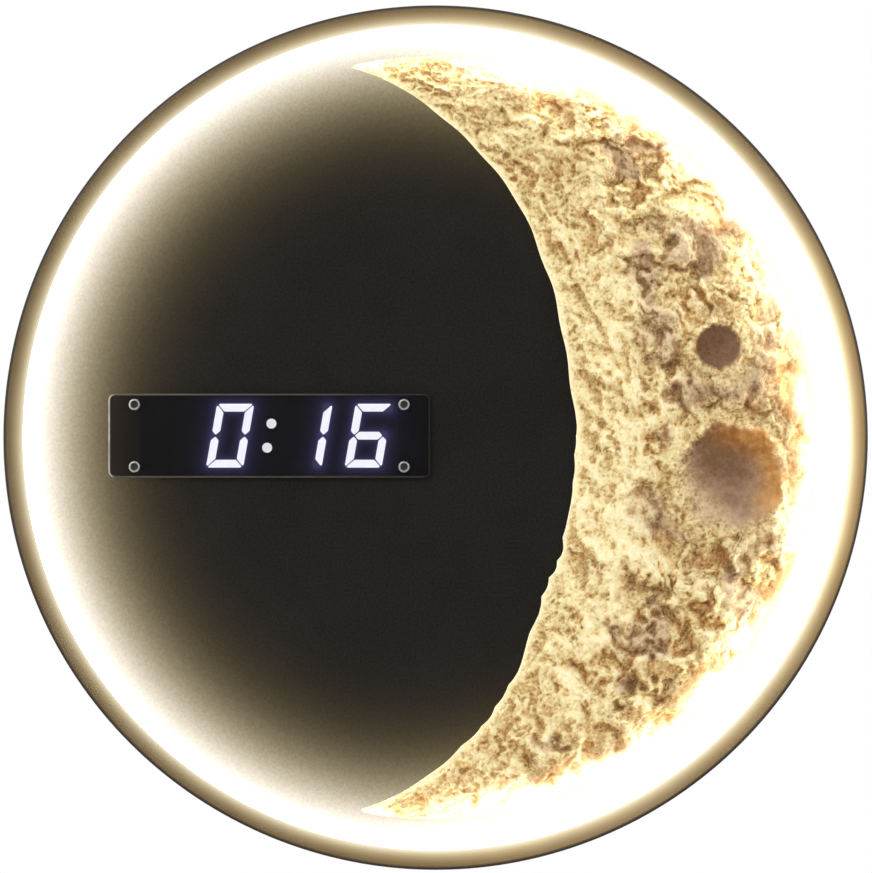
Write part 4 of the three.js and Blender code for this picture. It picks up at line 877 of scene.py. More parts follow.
@dataclass
class HexScrew:
    """A screw with a hexagon socket."""

    head: float  # Radius of the head
    height: float  # Height of the head
    socket: float  # Width of the socket across its flats
    socket_depth: float  # Depth of the socket
    shank: float  # Radius of the shank
    length: float  # Length of the shank below the head
    countersunk: bool = False  # Whether the head is a cone
    chamfer: float = 0.00035  # Width of the chamfer round the head
    dish: float = 0.0  # Radius of the head's dished middle; 0 is none
    dish_depth: float = 0.0003  # Depth of the dish
    lip: float = 0.97  # Width of the socket below its lip, as a share of its mouth
    lip_depth: float = 0.0001  # Depth of the lip
    tip: float = 0.75  # Radius of the shank's end, as a share of the shank's
    cuts: int = 5  # Cuts in each side of the socket, so that it meets the head's round edge

    def shape(self, place: Vector, facing: Facing) -> BMesh:
        """Builds the screw.

        Args:
            place: Middle of the head's outer face.
            facing: Side that the head faces.

        Returns:
            The shape.
        """
        bm = bmesh.new()
        corner = self.socket / 2 / math.cos(math.pi / 6)
        bmesh.ops.create_circle(bm, segments=6, radius=corner)
        bmesh.ops.subdivide_edges(bm, edges=bm.edges[:], cuts=self.cuts)
        mouth = bm.edges[:]
        flat = self.head - self.chamfer
        rim = self.circle(bm, flat)
        inner = rim
        if self.dish:
            inner = self.circle(bm, self.dish)
            sunk = list({vert for edge in mouth for vert in edge.verts})
            bmesh.ops.translate(bm, vec=(0.0, 0.0, -self.dish_depth), verts=sunk)
            bmesh.ops.bridge_loops(bm, edges=inner + rim)
        bmesh.ops.bridge_loops(bm, edges=mouth + inner)
        floor = step(bm, step(bm, mouth, self.lip, -self.lip_depth), 1.0, -self.socket_depth)
        bmesh.ops.edgeloop_fill(bm, edges=floor)
        ring = step(bm, step(bm, rim, 1 + self.chamfer / flat / 2, -self.chamfer / 4), 1.0, 0.0)
        ring = step(bm, ring, self.head / (flat + self.chamfer / 2), -self.chamfer * 3 / 4)
        if self.countersunk:
            ring = step(bm, ring, self.shank / self.head, self.chamfer - self.height)
        else:
            ring = step(bm, ring, 1.0, self.chamfer - self.height)
            ring = step(bm, ring, self.shank / self.head, 0.0)
        ring = step(bm, ring, 1.0, self.shank / 3 - self.length)
        ring = step(bm, ring, self.tip, -self.shank / 3)
        bmesh.ops.edgeloop_fill(bm, edges=ring)
        # The dish and the socket take the second material, which the lens screws give a darker steel: painted
        # shade in the head's hollow.
        for face in bm.faces:
            middle_place = face.calc_center_median()
            inside = middle_place.xy.length < self.dish and middle_place.z > -self.height
            face.material_index = int(inside)
        turn = Matrix.Translation(place) @ Matrix.Rotation(facing.value, 4, "X")
        bmesh.ops.transform(bm, matrix=turn, verts=bm.verts[:])
        return bm

    def circle(self, bm: BMesh, radius: float) -> list[BMEdge]:
        """Adds a circle about Z, with as many chords as the socket's mouth, and returns its edges."""
        verts = bmesh.ops.create_circle(bm, segments=6 * (self.cuts + 1), radius=radius)["verts"]
        return list({edge for vert in verts for edge in vert.link_edges})


@dataclass
class Rim(Assembly):
    """The steel hoop and the opal light ring inside it."""

    wall: float = 0.0015  # Thickness of the hoop's band
    bead: float = 0.0016  # Radius of its rolled front edge
    flange: float = 0.020  # Width of its rear flange
    lip: Point = (0.1911, -0.0390)  # Radius and Y of the end of its sloping return
    return_wall: float = 0.0012  # Thickness of the return
    ring_inner: float = 0.1830  # Inner radius of the light ring
    ring_front: float = -0.0363  # Y of its front
    ring_wall: float = 0.0015  # Its wall
    segments: int = 256  # Steps in a turn

    def build(self) -> list[Piece]:
        """Returns both pieces, built and finished."""
        return [self.hoop(), self.light_ring()]

    def hoop(self) -> Piece:
        """Turns the hoop from its profile."""
        low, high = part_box("rim_hoop")
        outer, front, rear = high.x, low.y, high.y
        inner, bead_y = outer - self.wall, front + self.bead
        slope = Vector((self.lip[0] - (outer - self.bead), self.lip[1] - front)).normalized()
        across = Vector((-slope.y, slope.x))
        across = across if across.x > 0 else -across
        under = Vector(self.lip) + across * self.return_wall
        tip = Vector(self.lip) + across * self.return_wall / 2 + slope * self.return_wall / 2
        share = (inner - under.x) / slope.x
        profile = [
            (outer - self.flange, rear),
            *arc((inner, rear - self.wall), self.wall, 90, 0, 6),
            *arc((outer - self.bead, bead_y), self.bead, 0, -90, 10),
            self.lip,
            (tip.x, tip.y),
            (under.x, under.y),
            (inner, under.y + share * slope.y),
            (inner, rear - self.wall),
            (outer - self.flange, rear - self.wall),
        ]
        return self.piece(turned(profile, self.segments), "hoop_band", "hoop_paint", "rim_hoop")

    def light_ring(self) -> Piece:
        """Turns the light ring from its profile."""
        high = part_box("light_diffuser")[1]
        outer, rear, inside = high.x, high.y, self.ring_inner + self.ring_wall
        corner = (inside, self.ring_front + self.ring_wall)
        profile = [
            (outer, rear),
            (self.ring_inner, rear),
            *arc(corner, self.ring_wall, 180, 270, 6),
            (outer, self.ring_front),
            (outer, self.ring_front + self.ring_wall),
            corner,
            (inside, rear - self.ring_wall),
            (outer, rear - self.ring_wall),
        ]
        return self.piece(turned(profile, self.segments), "light_ring", "opal_plastic", "light_diffuser")


class Terrain:
    """Smooth random fields over a plane; the same place, x + iz, always has the same value."""

    TURN = (0.4, 0.6)  # Turn of the first layer, and of each against the one before, in radians
    SHIFT = (17.3, -9.1)  # Shift of each layer against the one before
    FINER = 2.03  # How much finer each layer is
    # Shifts of the lattice that give a pore its second and third random number
    ASIDE = ((57, 113), (211, 31))

    @staticmethod
    def lattice(i: Array, j: Array) -> Array:
        """Returns a random number from 0 to 1 for each whole step, from the usual sine hash."""
        mixed = np.sin(i * 12.9898 + j * 78.233) * 43758.5453
        return mixed - np.floor(mixed)

    @classmethod
    def field(cls, x: Array, z: Array) -> Array:
        """Works out a smooth field with a hill or hollow at each whole step.

        Args:
            x: Places along X, in steps.
            z: Places along Z, in steps.

        Returns:
            Values from 0 to 1.
        """
        i, j = np.floor(x), np.floor(z)
        u, v = ease(x - i), ease(z - j)
        lower = cls.lattice(i, j) * (1 - u) + cls.lattice(i + 1, j) * u
        upper = cls.lattice(i, j + 1) * (1 - u) + cls.lattice(i + 1, j + 1) * u
        return lower * (1 - v) + upper * v

    @classmethod
    def layers(cls, place: Array, size: float, count: int, gain: float = 0.5) -> Array:
        """Adds up ever finer fields.

        Args:
            place: The places.
            size: Width of the largest hills.
            count: Number of layers.
            gain: Weight of each layer against the one before.

        Returns:
            Values around 0.5.
        """
        x, z = place.real, place.imag
        total, weight, weights = np.zeros_like(x), 1.0, 0.0
        for layer in range(count):
            turn = cls.TURN[1] * layer + cls.TURN[0]
            c, s = math.cos(turn), math.sin(turn)
            u, v = (c * x - s * z) / size, (s * x + c * z) / size
            total += weight * cls.field(u + cls.SHIFT[0] * layer, v + cls.SHIFT[1] * layer)
            weights += weight
            weight, size = weight * gain, size / cls.FINER
        return total / weights

    @classmethod
    def pores(cls, place: Array, size: float) -> tuple[Array, Array]:
        """Scatters pores over the plane.

        Args:
            place: The places.
            size: Distance between pores.

        Returns:
            Distance to the nearest pore in sizes, and a random number from 0 to 1 for that pore.
        """
        u, v = place.real / size, place.imag / size
        i, j = np.floor(u), np.floor(v)
        (right, up), (other_right, other_up) = cls.ASIDE
        nearest, chance = np.full_like(u, np.inf), np.zeros_like(u)
        for a, b in ((i + di, j + dj) for di in (-1, 0, 1) for dj in (-1, 0, 1)):
            distance = np.hypot(a + cls.lattice(a, b) - u, b + cls.lattice(a + right, b + up) - v)
            closer = distance < nearest
            chance = np.where(closer, cls.lattice(a + other_right, b + other_up), chance)
            nearest = np.where(closer, distance, nearest)
        return nearest, chance


class Waves(Enum):
    """Random fields of the relief: width of the largest hills, layers, shift as x + iz, and gain."""

    SWAY = (0.012, 3, 0.3)
    SWING = (0.012, 3, 0.3j)
    NUDGE = (0.004, 2, 0.6)
    PLATES = (0.017, 3, 0.7)
    LANES = (0.010, 2, 0.0)
    NET = (0.0070, 2, 0.9j)
    CRESTS = (0.015, 3, 1.3)
    GRIT = (0.0030, 2, 0.1j)
    COLLAR = (0.006, 3, 5.0j)
    NICKS = (0.0022, 2, 9.0j)
    RAGGED = (0.007, 4, 6.0j, 0.7)
    STAINS = (0.035, 3, 1.0j)
    SAND = (0.024, 3, 2.0j)
    WARM = (0.012, 3, 3.0)
    FRINGE = (0.020, 2, 4.0)
    GLARE = (0.022, 4, 2.0)
    TIPS = (0.006, 2, 2.0)
    GRAIN = (0.0022, 2, 4.0j)
    CLOUDS = (0.006, 3, 7.0j)

    def level(self, place: Array) -> Array:
        """Returns the field, with values around 0.5."""
        size, count, shift, *gain = self.value
        return Terrain.layers(place + shift, size, count, *gain)

    def stray(self, place: Array) -> Array:
        """Returns the field, with values around 0."""
        return self.level(place) - 0.5


def ease(share: Array) -> Array:
    """Returns a share from 0 to 1 with a soft start and end."""
    return share * share * (3 - 2 * share)


def between(value: Array, low: float, high: float) -> Array:
    """Returns how far a value is from low to high, held from 0 to 1 and eased."""
    return ease(np.clip((value - low) / (high - low), 0.0, 1.0))


def bell(value: Array, top: float, width: float) -> Array:
    """Returns 1 at the top's value, falling to about a third at a width to either side."""
    return np.exp(-(((value - top) / width) ** 2))


def graded(pair: Point, share: Array) -> Array:
    """Returns the first of a pair with a share of the second added."""
    return pair[0] + pair[1] * share


def ridge(stray: Array, width: float, power: float = 1.0) -> Array:
    """Returns a ridge from -0.5 to 0.5 where a random field crosses its middle."""
    return 0.5 - np.clip(np.abs(stray) / width, 0.0, 1.0) ** power


def blurred(values: Array, reach: int) -> Array:
    """Blurs a grid.

    Args:
        values: The grid.
        reach: Number of neighbours to each side over which it is averaged.

    Returns:
        The blurred grid.
    """
    for axis in (0, 1):
        padded = np.pad(values, [(reach, reach) if a == axis else (0, 0) for a in (0, 1)], mode="edge")
        count = values.shape[axis]
        slices = [np.take(padded, range(k, k + count), axis) for k in range(2 * reach + 1)]
        values = sum(slices) / len(slices)
    return values


def fall(values: Array, lengths: Array, axis: int, reach: int) -> Array:
    """Works out how steeply a grid falls along an axis.

    Args:
        values: The grid.
        lengths: How far along the axis each place is.
        axis: The axis.
        reach: Number of neighbours over which the grid is blurred first.

    Returns:
        The slope, positive where the grid falls.
    """
    least = 1e-5
    steps = np.maximum(np.gradient(lengths, axis=axis), least)
    return -np.gradient(blurred(values, reach), axis=axis) / steps


@dataclass(frozen=True)
class Fade:
    """An amount that comes or goes while a value passes from low to high."""

    amount: float
    low: float
    high: float

    def after(self, value: Array) -> Array:
        """Returns what there is of an amount that comes."""
        return self.amount * between(value, self.low, self.high)

    def before(self, value: Array) -> Array:
        """Returns what there is of an amount that goes."""
        return self.amount * (1 - between(value, self.low, self.high))


@dataclass
class Ground:
    """The relief's grid of places, and what their height and looks depend on."""

    place: Array  # The places as x + iz
    strayed: Array  # The places, moved at random so that outlines are ragged
    width: Array  # Width of the crescent there
    from_inner: Array  # Distances from the inner edge
    from_limb: Array  # Distances from the limb
    run: Array  # Distances from the lower horn along the limb
    rocky: Array  # Share of broken rock; the rest is the finer band along the inner edge
    body: Array  # Share of the texture, which fades towards the edges and the horns


@dataclass(frozen=True)
class Hollow:
    """A hollow of the relief."""

    across: float  # Its place from the inner edge, 0, to the limb, 1
    along: float  # Its place from the lower horn, 0, to the upper, 1
    radius: float  # Radius of its mouth


@dataclass(frozen=True)
class Crater(Hollow):
    """A plain crater."""

    depth: float  # How deep its bowl is


@dataclass(frozen=True)
class Collar(Hollow):
    """A crater with a raised collar and a sandy inside of its own."""

    wall: float  # Width of the collar's top
    skirt: float  # Width of the collar's slope
    top: float  # Height of the collar
    floor: float  # Height of the floor

    STRAY = 0.010  # How far the collar's outline strays
    ROUGH = 0.3  # Share of that stray which shows in the collar's height
    CURVE = 0.8  # Power of the slope's curve
    SAND = 0.95  # Share of sand inside

    def raised(self, place: Array, centre: complex, height: Array, least: float) -> Array:
        """Raises the collar.

        Args:
            place: The places.
            centre: The crater's middle.
            height: The heights around it.
            least: Height where the collar's slope ends.

        Returns:
            The new heights.
        """
        reach, uneven = np.abs(place - centre), self.STRAY * Waves.COLLAR.stray(place)
        outside = np.clip((reach + uneven - self.radius - self.wall) / self.skirt, 0.0, 1.0)
        cone = self.top - (self.top - least) * outside**self.CURVE + self.ROUGH * uneven
        return np.where(reach < self.radius + self.wall + self.skirt, np.maximum(height, cone), height)

    def mouth(self, place: Array, centre: complex) -> tuple[Array, Array]:
        """Cuts the mouth.

        Args:
            place: The places.
            centre: The crater's middle.

        Returns:
            Share of each place that lies inside, and height of the inside there.
        """
        raise NotImplementedError

    def inside(self, place: Array, centre: complex, glare: Array) -> list[Array]:
        """Works out the looks of the inside.

        Args:
            place: The places.
            centre: The crater's middle.
            glare: The glare there without the crater.

        Returns:
            Tone, glare, sand and painted ring light.
        """
        raise NotImplementedError


@dataclass(frozen=True)
class Pit(Collar):
    """The small bored crater."""

    NICK = 0.0022  # How far the edge of its mouth strays
    EDGE = 0.0006  # Half the width of that edge
    TONE = (0.06, 0.08)  # Tone of the floor, and what the wall adds
    DARK_SIDE = 0.8  # Direction of the wall's darkest part, from +Z, in radians
    GRAIN = 0.1  # How much the grain of the sand shows

    def mouth(self, place: Array, centre: complex) -> tuple[Array, Array]:
        """Bores the mouth down to its floor."""
        reach = np.abs(place - centre) + self.NICK * Waves.NICKS.stray(place)
        share = 1 - between(reach, self.radius - self.EDGE, self.radius + self.EDGE)
        return share, np.full_like(reach, self.floor)

    def inside(self, place: Array, centre: complex, glare: Array) -> list[Array]:
        """Works out the looks of the bore, which no glare reaches, with painted shade that is darkest on its
        floor and one side of its wall.
        """
        offset = (place - centre) / self.radius
        lit = np.clip(np.abs(offset), 0.0, 1.0) * (1 - np.sin(np.angle(offset) - self.DARK_SIDE))
        tone = graded(self.TONE, lit) + self.GRAIN * Waves.GRAIN.stray(place)
        return [tone, 0 * glare, np.full_like(glare, self.SAND), 0 * glare]


@dataclass(frozen=True)
class Basin(Collar):
    """The wide crater with a round floor."""

    # Mouth: stray, how much wider it is towards one side, widths of its edge, and power of the bowl
    RAGGED = 0.010
    PULL = Fade(0.0032, -0.1, 0.8)
    PULL_SIDE = 1.0 - 0.7j
    LIP = (0.0010, 0.003)
    SOFT = Fade(0.006, 0.0, 1.0)
    BOWL = 2.2
    # Tone: least and what the distance from the darkest place adds, that place in radii, and power; the
    # darkest place is painted shade
    TONE = (0.01, 0.32)
    DARKEST = -0.08 + 0.40j
    SPREAD = 1.6
    # Pale bank, a painted highlight: share towards one side, tone, and how much of the sand it lacks
    BANK = Fade(1.0, 0.1, 1.2)
    BANK_SIDE = -1.2 + 0.8j
    BANK_TONE = 0.28
    BARE = 0.35
    # Clouds and their narrowness, and grain at the middle and what the mouth adds
    CLOUD = (0.35, 0.6)
    GRAIN = (0.10, 0.45)
    # Painted ring light on the wall, by the distance from the middle and the turn from its side, and share of
    # glare kept
    PAINTED_WALL_LIGHT = Fade(0.9, 0.36, 0.92)
    PAINTED_WALL_LIGHT_SIDE = 0.55
    PAINTED_WALL_LIGHT_TURN = Fade(1.0, -0.2, 0.75)
    GLARE_KEPT = 0.6

    def mouth(self, place: Array, centre: complex) -> tuple[Array, Array]:
        """Cuts the mouth as a bowl with a ragged edge."""
        offset = (place - centre) / self.radius
        towards = (offset * self.PULL_SIDE).real
        reach = np.abs(place - centre) + self.RAGGED * Waves.RAGGED.stray(place) - self.PULL.after(towards)
        share = np.clip(reach / self.radius, 0.0, 1.0)
        soft = self.LIP[1] + self.SOFT.after(-(offset.real + offset.imag))
        inside = self.floor + (self.top - self.floor) * share**self.BOWL
        return 1 - between(reach, self.radius - soft, self.radius + self.LIP[0]), inside

    def inside(self, place: Array, centre: complex, glare: Array) -> list[Array]:
        """Works out the looks of the bowl: painted shade high in it, a painted highlight on its lower left
        bank, and painted ring light on its right wall.
        """
        offset = (place - centre) / self.radius
        turn, reach = np.angle(offset), np.clip(np.abs(offset), 0.0, 1.0)
        bank = self.BANK.after((offset * self.BANK_SIDE).real)
        tone = graded(self.TONE, np.abs(offset - self.DARKEST) ** self.SPREAD) + self.BANK_TONE * bank
        weight, stretch = self.CLOUD
        tone = tone + weight * Waves.CLOUDS.stray(stretch * place.real + 1j * place.imag)
        tone = tone + graded(self.GRAIN, reach**2) * Waves.GRAIN.stray(place)
        painted_wall_light = self.PAINTED_WALL_LIGHT.after(reach) * self.PAINTED_WALL_LIGHT_TURN.after(np.cos(turn - self.PAINTED_WALL_LIGHT_SIDE))
        return [tone, self.GLARE_KEPT * glare, self.SAND - self.BARE * bank, painted_wall_light]


@dataclass
class ReliefTexture:
    """The relief's plates, ridges, pores and grit.

    A share is a pair: what holds on the band along the inner edge, and what broken rock adds.
    """

    ground: Ground

    # Plates: levels of a random field where one rises above the next, width of an edge, height and share
    PLATE_LEVELS = (0.40, 0.49, 0.58)
    PLATE_EDGE = 0.022
    PLATE = 0.0021
    PLATE_SHARE = (0.2, 0.8)
    # Ridges along the band: height and width, share, how much narrower than long they are, and stray
    LANE = (0.0018, 0.12)
    LANE_SHARE = (1.0, -0.6)
    LANE_STRETCH = 0.30
    LANE_SWAY = 0.008
    # Height, width and power of the net of fine ridges and of the crests in the rock
    NET = (0.0018, 0.16, 0.7)
    CREST = (0.0022, 0.14, 0.6)
    # Pores: depth by the distance from the middle, share, share by chance, and spacing and narrowness
    PORE = Fade(0.0010, 0.12, 0.55)
    PORE_SHARE = (1.0, -0.3)
    PORE_CHANCE = Fade(1.0, 0.2, 0.8)
    PORE_SIZE = (0.0044, 0.65)
    # Finer pores: depth, spacing and stray, and least depth and what chance adds; then the grit
    DIMPLE = Fade(0.0007, 0.05, 0.50)
    DIMPLE_SIZE = (0.0028, 0.3)
    DIMPLE_DEPTH = (0.3, 0.7)
    GRIT = 0.0008

    def heights(self) -> Array:
        """Returns what the texture adds to the height of each place."""
        ground, strayed, rocky = self.ground, self.ground.strayed, self.ground.rocky
        plates = Waves.PLATES.level(strayed)
        stairs = sum(between(plates, level, level + self.PLATE_EDGE) for level in self.PLATE_LEVELS)
        rise = self.PLATE * graded(self.PLATE_SHARE, rocky) * (stairs - len(self.PLATE_LEVELS) / 2)
        aside = ground.from_inner + self.LANE_SWAY * Waves.SWING.stray(ground.place)
        lanes = Waves.LANES.stray(aside + 1j * self.LANE_STRETCH * ground.run)
        rise = rise + self.LANE[0] * graded(self.LANE_SHARE, rocky) * ridge(lanes, self.LANE[1])
        rise = rise + self.NET[0] * ridge(Waves.NET.stray(strayed), *self.NET[1:])
        rise = rise + self.CREST[0] * rocky * ridge(Waves.CRESTS.stray(strayed), *self.CREST[1:])
        size, stretch = self.PORE_SIZE
        near, chance = Terrain.pores(aside + 1j * stretch * ground.run, size)
        depth = self.PORE.before(near) * self.PORE_CHANCE.after(chance)
        rise = rise - depth * graded(self.PORE_SHARE, rocky)
        size, share = self.DIMPLE_SIZE
        near, chance = Terrain.pores((1 - share) * ground.place + share * strayed, size)
        rise = rise - self.DIMPLE.before(near) * graded(self.DIMPLE_DEPTH, chance)
        return rise + self.GRIT * Waves.GRIT.stray(strayed)


@dataclass
class ReliefLooks:
    """How light and sandy each place of the relief is, painted shade included, how much painted ring light it
    has, and how much the ring glares there.

    Tones run from 0, the deepest brown, to 1, cream. A graded value is a pair: what holds on the band
    along the inner edge, and what broken rock adds. Reaches are counted in steps of the grid.
    """

    ground: Ground
    height: Array  # Heights, before the mouths of the collars are cut
    sunk: Array  # How far each place is sunk in a hollow, from 0 to 1
    shut: Array  # Share of each place that lies in a mouth
    collars: Sequence[tuple[Collar, complex]]  # The collars and their middles; the pit comes first

    # Tone of even ground, and what hollows, rock off the limb, the top, graded, and the foot change
    EVEN = 0.66
    HOLLOW = 0.06
    ROCK = Fade(0.25, 0.0, 0.02)
    TOP = (-0.08, 0.15)
    TOP_RANGE = Fade(1.0, 0.07, 0.11)
    FOOT = Fade(0.03, 0.09, 0.12)
    # Shadows: slope of the light, reach, and, graded, how dark they are and how deep a full one is
    LIGHT_SLOPE = 0.55
    SHADOW_STEPS = 9
    SHADE = (0.14, 0.09)
    SHADE_DEPTH = (0.0012, 0.0014)
    # Forms: least texture and most mouth of open ground, graded contrast, most standard deviations that
    # count, and weights and reaches of each kind
    OPEN = (0.5, 0.05)
    CONTRAST = (1.0, -0.10)
    MOST = 2.2
    # GRAIN, LUMP and FORM lighten ridges and darken hollows, and FACING and UPWARD light slopes that face the
    # limb or face up: painted shade and highlights
    GRAIN = (0.064, 1)
    LUMP = (0.072, 4)
    FORM = (0.032, 3, 14)
    FACING = ((0.052, 1), (0.030, 4))
    UPWARD = ((0.064, 1), (0.058, 3))
    BROAD = (1.5, -0.75)
    STAIN = 0.014
    # Collars: calm around a distance from the mouth, dots with their spacing and shift, and a painted
    # highlight on the rim
    CALM = Fade(0.7, 0.002, 0.009)
    CALM_PLACE = 0.003
    DOT = Fade(0.24, 0.15, 0.5)
    DOT_GRID = (0.0021, 8.0j)
    RIM = 0.17
    RIM_PLACE = (0.0022, 0.0048)
    # Sand beside the pit: its middle from the pit's, its width, and how much plainer it and the rims are
    APRON = 0.011 - 0.016j
    APRON_SIZE = 0.017
    PLAIN = (0.55, 0.45)
    # Limits: narrow ends, reach of the level, levels past which it is held or lifted, and lower knee
    NARROW = Fade(0.07, 0.05, 0.10)
    LEVEL_REACH = 7
    HOLD = (0.69, 0.7)
    LIFT = (0.40, 0.4)
    KNEE = 0.3
    # Light inner edge and its width, what narrow ends add to that, and the darker horns
    EDGE = (0.40, 0.0009)
    EDGE_SPREAD = Fade(0.0020, 0.03, 0.10)
    HORN = Fade(0.20, 0.006, 0.05)
    # Glare: start, greater depth low down and high up, stray, reach, and share by the crescent's width
    GLARE_START = 0.0045
    LOW_GLARE = Fade(0.0125, 0.105, 0.145)
    HIGH_GLARE = Fade(0.0045, 0.130, 0.165)
    GLARE_SWAY = 0.034
    GLARE_REACH = 0.0050
    GLARE_SHARE = Fade(1.0, 0.004, 0.05)
    # Glare at the horns' tips: by the crescent's width, stray, and share by distance from the inner edge
    TIP = Fade(0.85, 0.003, 0.016)
    TIP_SWAY = 0.02
    TIP_SHARE = Fade(1.0, 0.0005, 0.003)
    # Sand in a hollow and on a patch, share of a patch by a random field, and most sand
    SAND = (0.45, 0.60)
    PATCH = Fade(1.0, 0.46, 0.58)
    MOST_SAND = 0.8
    # Painted ring light in dark places: by a random field, by tone, everywhere and at the limb, reach, and
    # less on sand
    WARM = Fade(0.6, 0.46, 0.60)
    DARK = (0.6, 0.3)
    WARM_LIMB = (0.3, 0.7)
    WARM_REACH = 0.025
    COOL = 0.5
    # Warm fringe of the glare: by a random field, depth and width; and share by the crescent's width
    FRINGE = Fade(0.85, 0.38, 0.58)
    FRINGE_PLACE = (0.009, 0.006)
    WARM_SHARE = Fade(1.0, 0.008, 0.035)

    def all(self) -> list[Array]:
        """Returns tone with its painted shade and highlights, glare, sand and painted ring light."""
        place, rocky = self.ground.place, self.ground.rocky
        calm, rims = np.ones_like(self.height), np.zeros_like(self.height)
        for collar, centre in self.collars:
            reach = np.abs(place - centre) - collar.radius
            calm = calm - self.CALM.before(np.abs(reach - self.CALM_PLACE))
            rims = rims + bell(reach - collar.wall, *self.RIM_PLACE)
        apron = bell(np.abs(place - self.collars[0][1] - self.APRON), 0.0, self.APRON_SIZE)
        share = graded(self.CONTRAST, rocky) * (1 - self.PLAIN[0] * apron) * (1 - self.PLAIN[1] * rims)
        # Painted shade and highlights: shadows and the forms' parts darken and lighten the tone.
        tone = self.base_tone() - self.shadow() * (1 - self.shut) * calm
        open_ground = (self.ground.body > self.OPEN[0]) & (self.shut < self.OPEN[1])
        for weight, part in self.parts(calm):
            tone = tone + weight * share * np.clip(part / part[open_ground].std(), -self.MOST, self.MOST)
        spacing, shift = self.DOT_GRID
        dots = self.DOT.before(Terrain.pores(place + shift, spacing)[0])
        # Painted highlight: the collars' rims are lightened.
        tone = self.held(tone - (1 - calm) * dots + self.RIM * rims)
        patches = np.maximum(self.PATCH.after(Waves.SAND.level(place)), apron)
        sand = self.SAND[0] * self.sunk + self.SAND[1] * rocky * patches * calm
        sand = np.clip(sand, 0.0, self.MOST_SAND)
        return [tone, self.glare(), sand, self.painted_ring_light(tone, sand)]

    def base_tone(self) -> Array:
        """Returns the tone by kind of ground, without its forms."""
        z, rocky = self.ground.place.imag, self.ground.rocky
        tone = self.EVEN - self.HOLLOW * self.sunk - rocky * self.ROCK.after(self.ground.from_limb)
        return tone + self.TOP_RANGE.after(z) * graded(self.TOP, rocky) - self.FOOT.after(-z)

    def shadow(self) -> Array:
        """Returns how dark the shadows are that the ring's light casts away from the limb."""
        height, from_inner, rocky = self.height, self.ground.from_inner, self.ground.rocky
        depth, count = np.zeros_like(height), height.shape[1]
        for ahead in range(1, self.SHADOW_STEPS + 1):
            other = np.minimum(np.arange(count) + ahead, count - 1)
            way = from_inner[:, other] - from_inner
            depth = np.maximum(depth, height[:, other] - height - self.LIGHT_SLOPE * way)
        return graded(self.SHADE, rocky) * between(depth, 0.0, graded(self.SHADE_DEPTH, rocky))

    def parts(self, calm: Array) -> list[tuple[float, Array]]:
        """Works out the parts of the forms that change the tone: painted shade in hollows, painted highlights
        on ridges and on slopes that face the limb or face up, and stains.

        Args:
            calm: Share of broad forms that show.

        Returns:
            Weight and value of each part.
        """
        height, ground = self.height, self.ground
        broad = calm * graded(self.BROAD, ground.rocky)
        fine, lumps = blurred(height, self.GRAIN[1]), blurred(height, self.LUMP[1])
        form, inner_reach, outer_reach = self.FORM
        (near, near_reach), (far, far_reach) = self.FACING
        return [
            (self.GRAIN[0], height - fine),
            (self.LUMP[0], fine - lumps),
            (form, broad * (blurred(height, inner_reach) - blurred(height, outer_reach))),
            (near, fall(height, ground.from_inner, 1, near_reach)),
            (far, fall(height, ground.from_inner, 1, far_reach) * broad),
            (self.STAIN, Waves.STAINS.stray(ground.place)),
            *((weight, fall(height, ground.run, 0, reach) * calm) for weight, reach in self.UPWARD),
        ]

    def held(self, tone: Array) -> Array:
        """Holds the tone's level, lifts its darkest places and adds its edges.

        Args:
            tone: The tone so far.

        Returns:
            The new tone.
        """
        width = self.ground.width
        tone = tone - self.NARROW.before(width)
        level, (high, hold), (low, lift) = blurred(tone, self.LEVEL_REACH), self.HOLD, self.LIFT
        tone = tone - hold * np.clip(level - high, 0.0, None) + lift * np.clip(low - level, 0.0, None)
        below = np.minimum(tone - self.KNEE, 0.0)
        tone = np.where(below < 0.0, self.KNEE * np.exp(below / self.KNEE), tone)
        edge_width = self.EDGE[1] + self.EDGE_SPREAD.before(width)
        return tone + self.EDGE[0] * np.exp(-self.ground.from_inner / edge_width) - self.HORN.before(width)

    def glare_depth(self) -> Array:
        """Returns how far each place lies inside the edge of the full glare."""
        z, sway = self.ground.place.imag, self.GLARE_SWAY * Waves.GLARE.stray(self.ground.place)
        deeper = self.LOW_GLARE.after(-z) + self.HIGH_GLARE.after(z)
        return self.ground.from_limb + sway + self.GLARE_START - deeper

    def glare(self) -> Array:
        """Returns the glare along the limb and at the horns' tips."""
        width, depth = self.ground.width, np.clip(self.glare_depth(), 0.0, None)
        glare = np.exp(-depth / self.GLARE_REACH) * self.GLARE_SHARE.after(width)
        tips = self.TIP.before(width + self.TIP_SWAY * Waves.TIPS.stray(self.ground.place))
        return np.maximum(glare, tips * self.TIP_SHARE.after(self.ground.from_inner))

    def painted_ring_light(self, tone: Array, sand: Array) -> Array:
        """Works out the painted ring light in the dark places and in the glare's fringe.

        Args:
            tone: The tone.
            sand: The share of sand.

        Returns:
            The warmth.
        """
        (dark, reach), place = self.DARK, self.ground.place
        limb = graded(self.WARM_LIMB, np.exp(-self.ground.from_limb / self.WARM_REACH))
        painted_warm_light = self.WARM.after(Waves.WARM.level(place)) * between(dark - tone, 0.0, reach)
        painted_warm_light = painted_warm_light * limb * (1 - self.COOL * sand)
        fringe = self.FRINGE.after(Waves.FRINGE.level(place)) * bell(self.glare_depth(), *self.FRINGE_PLACE)
        return np.maximum(painted_warm_light, fringe) * self.WARM_SHARE.after(self.ground.width)


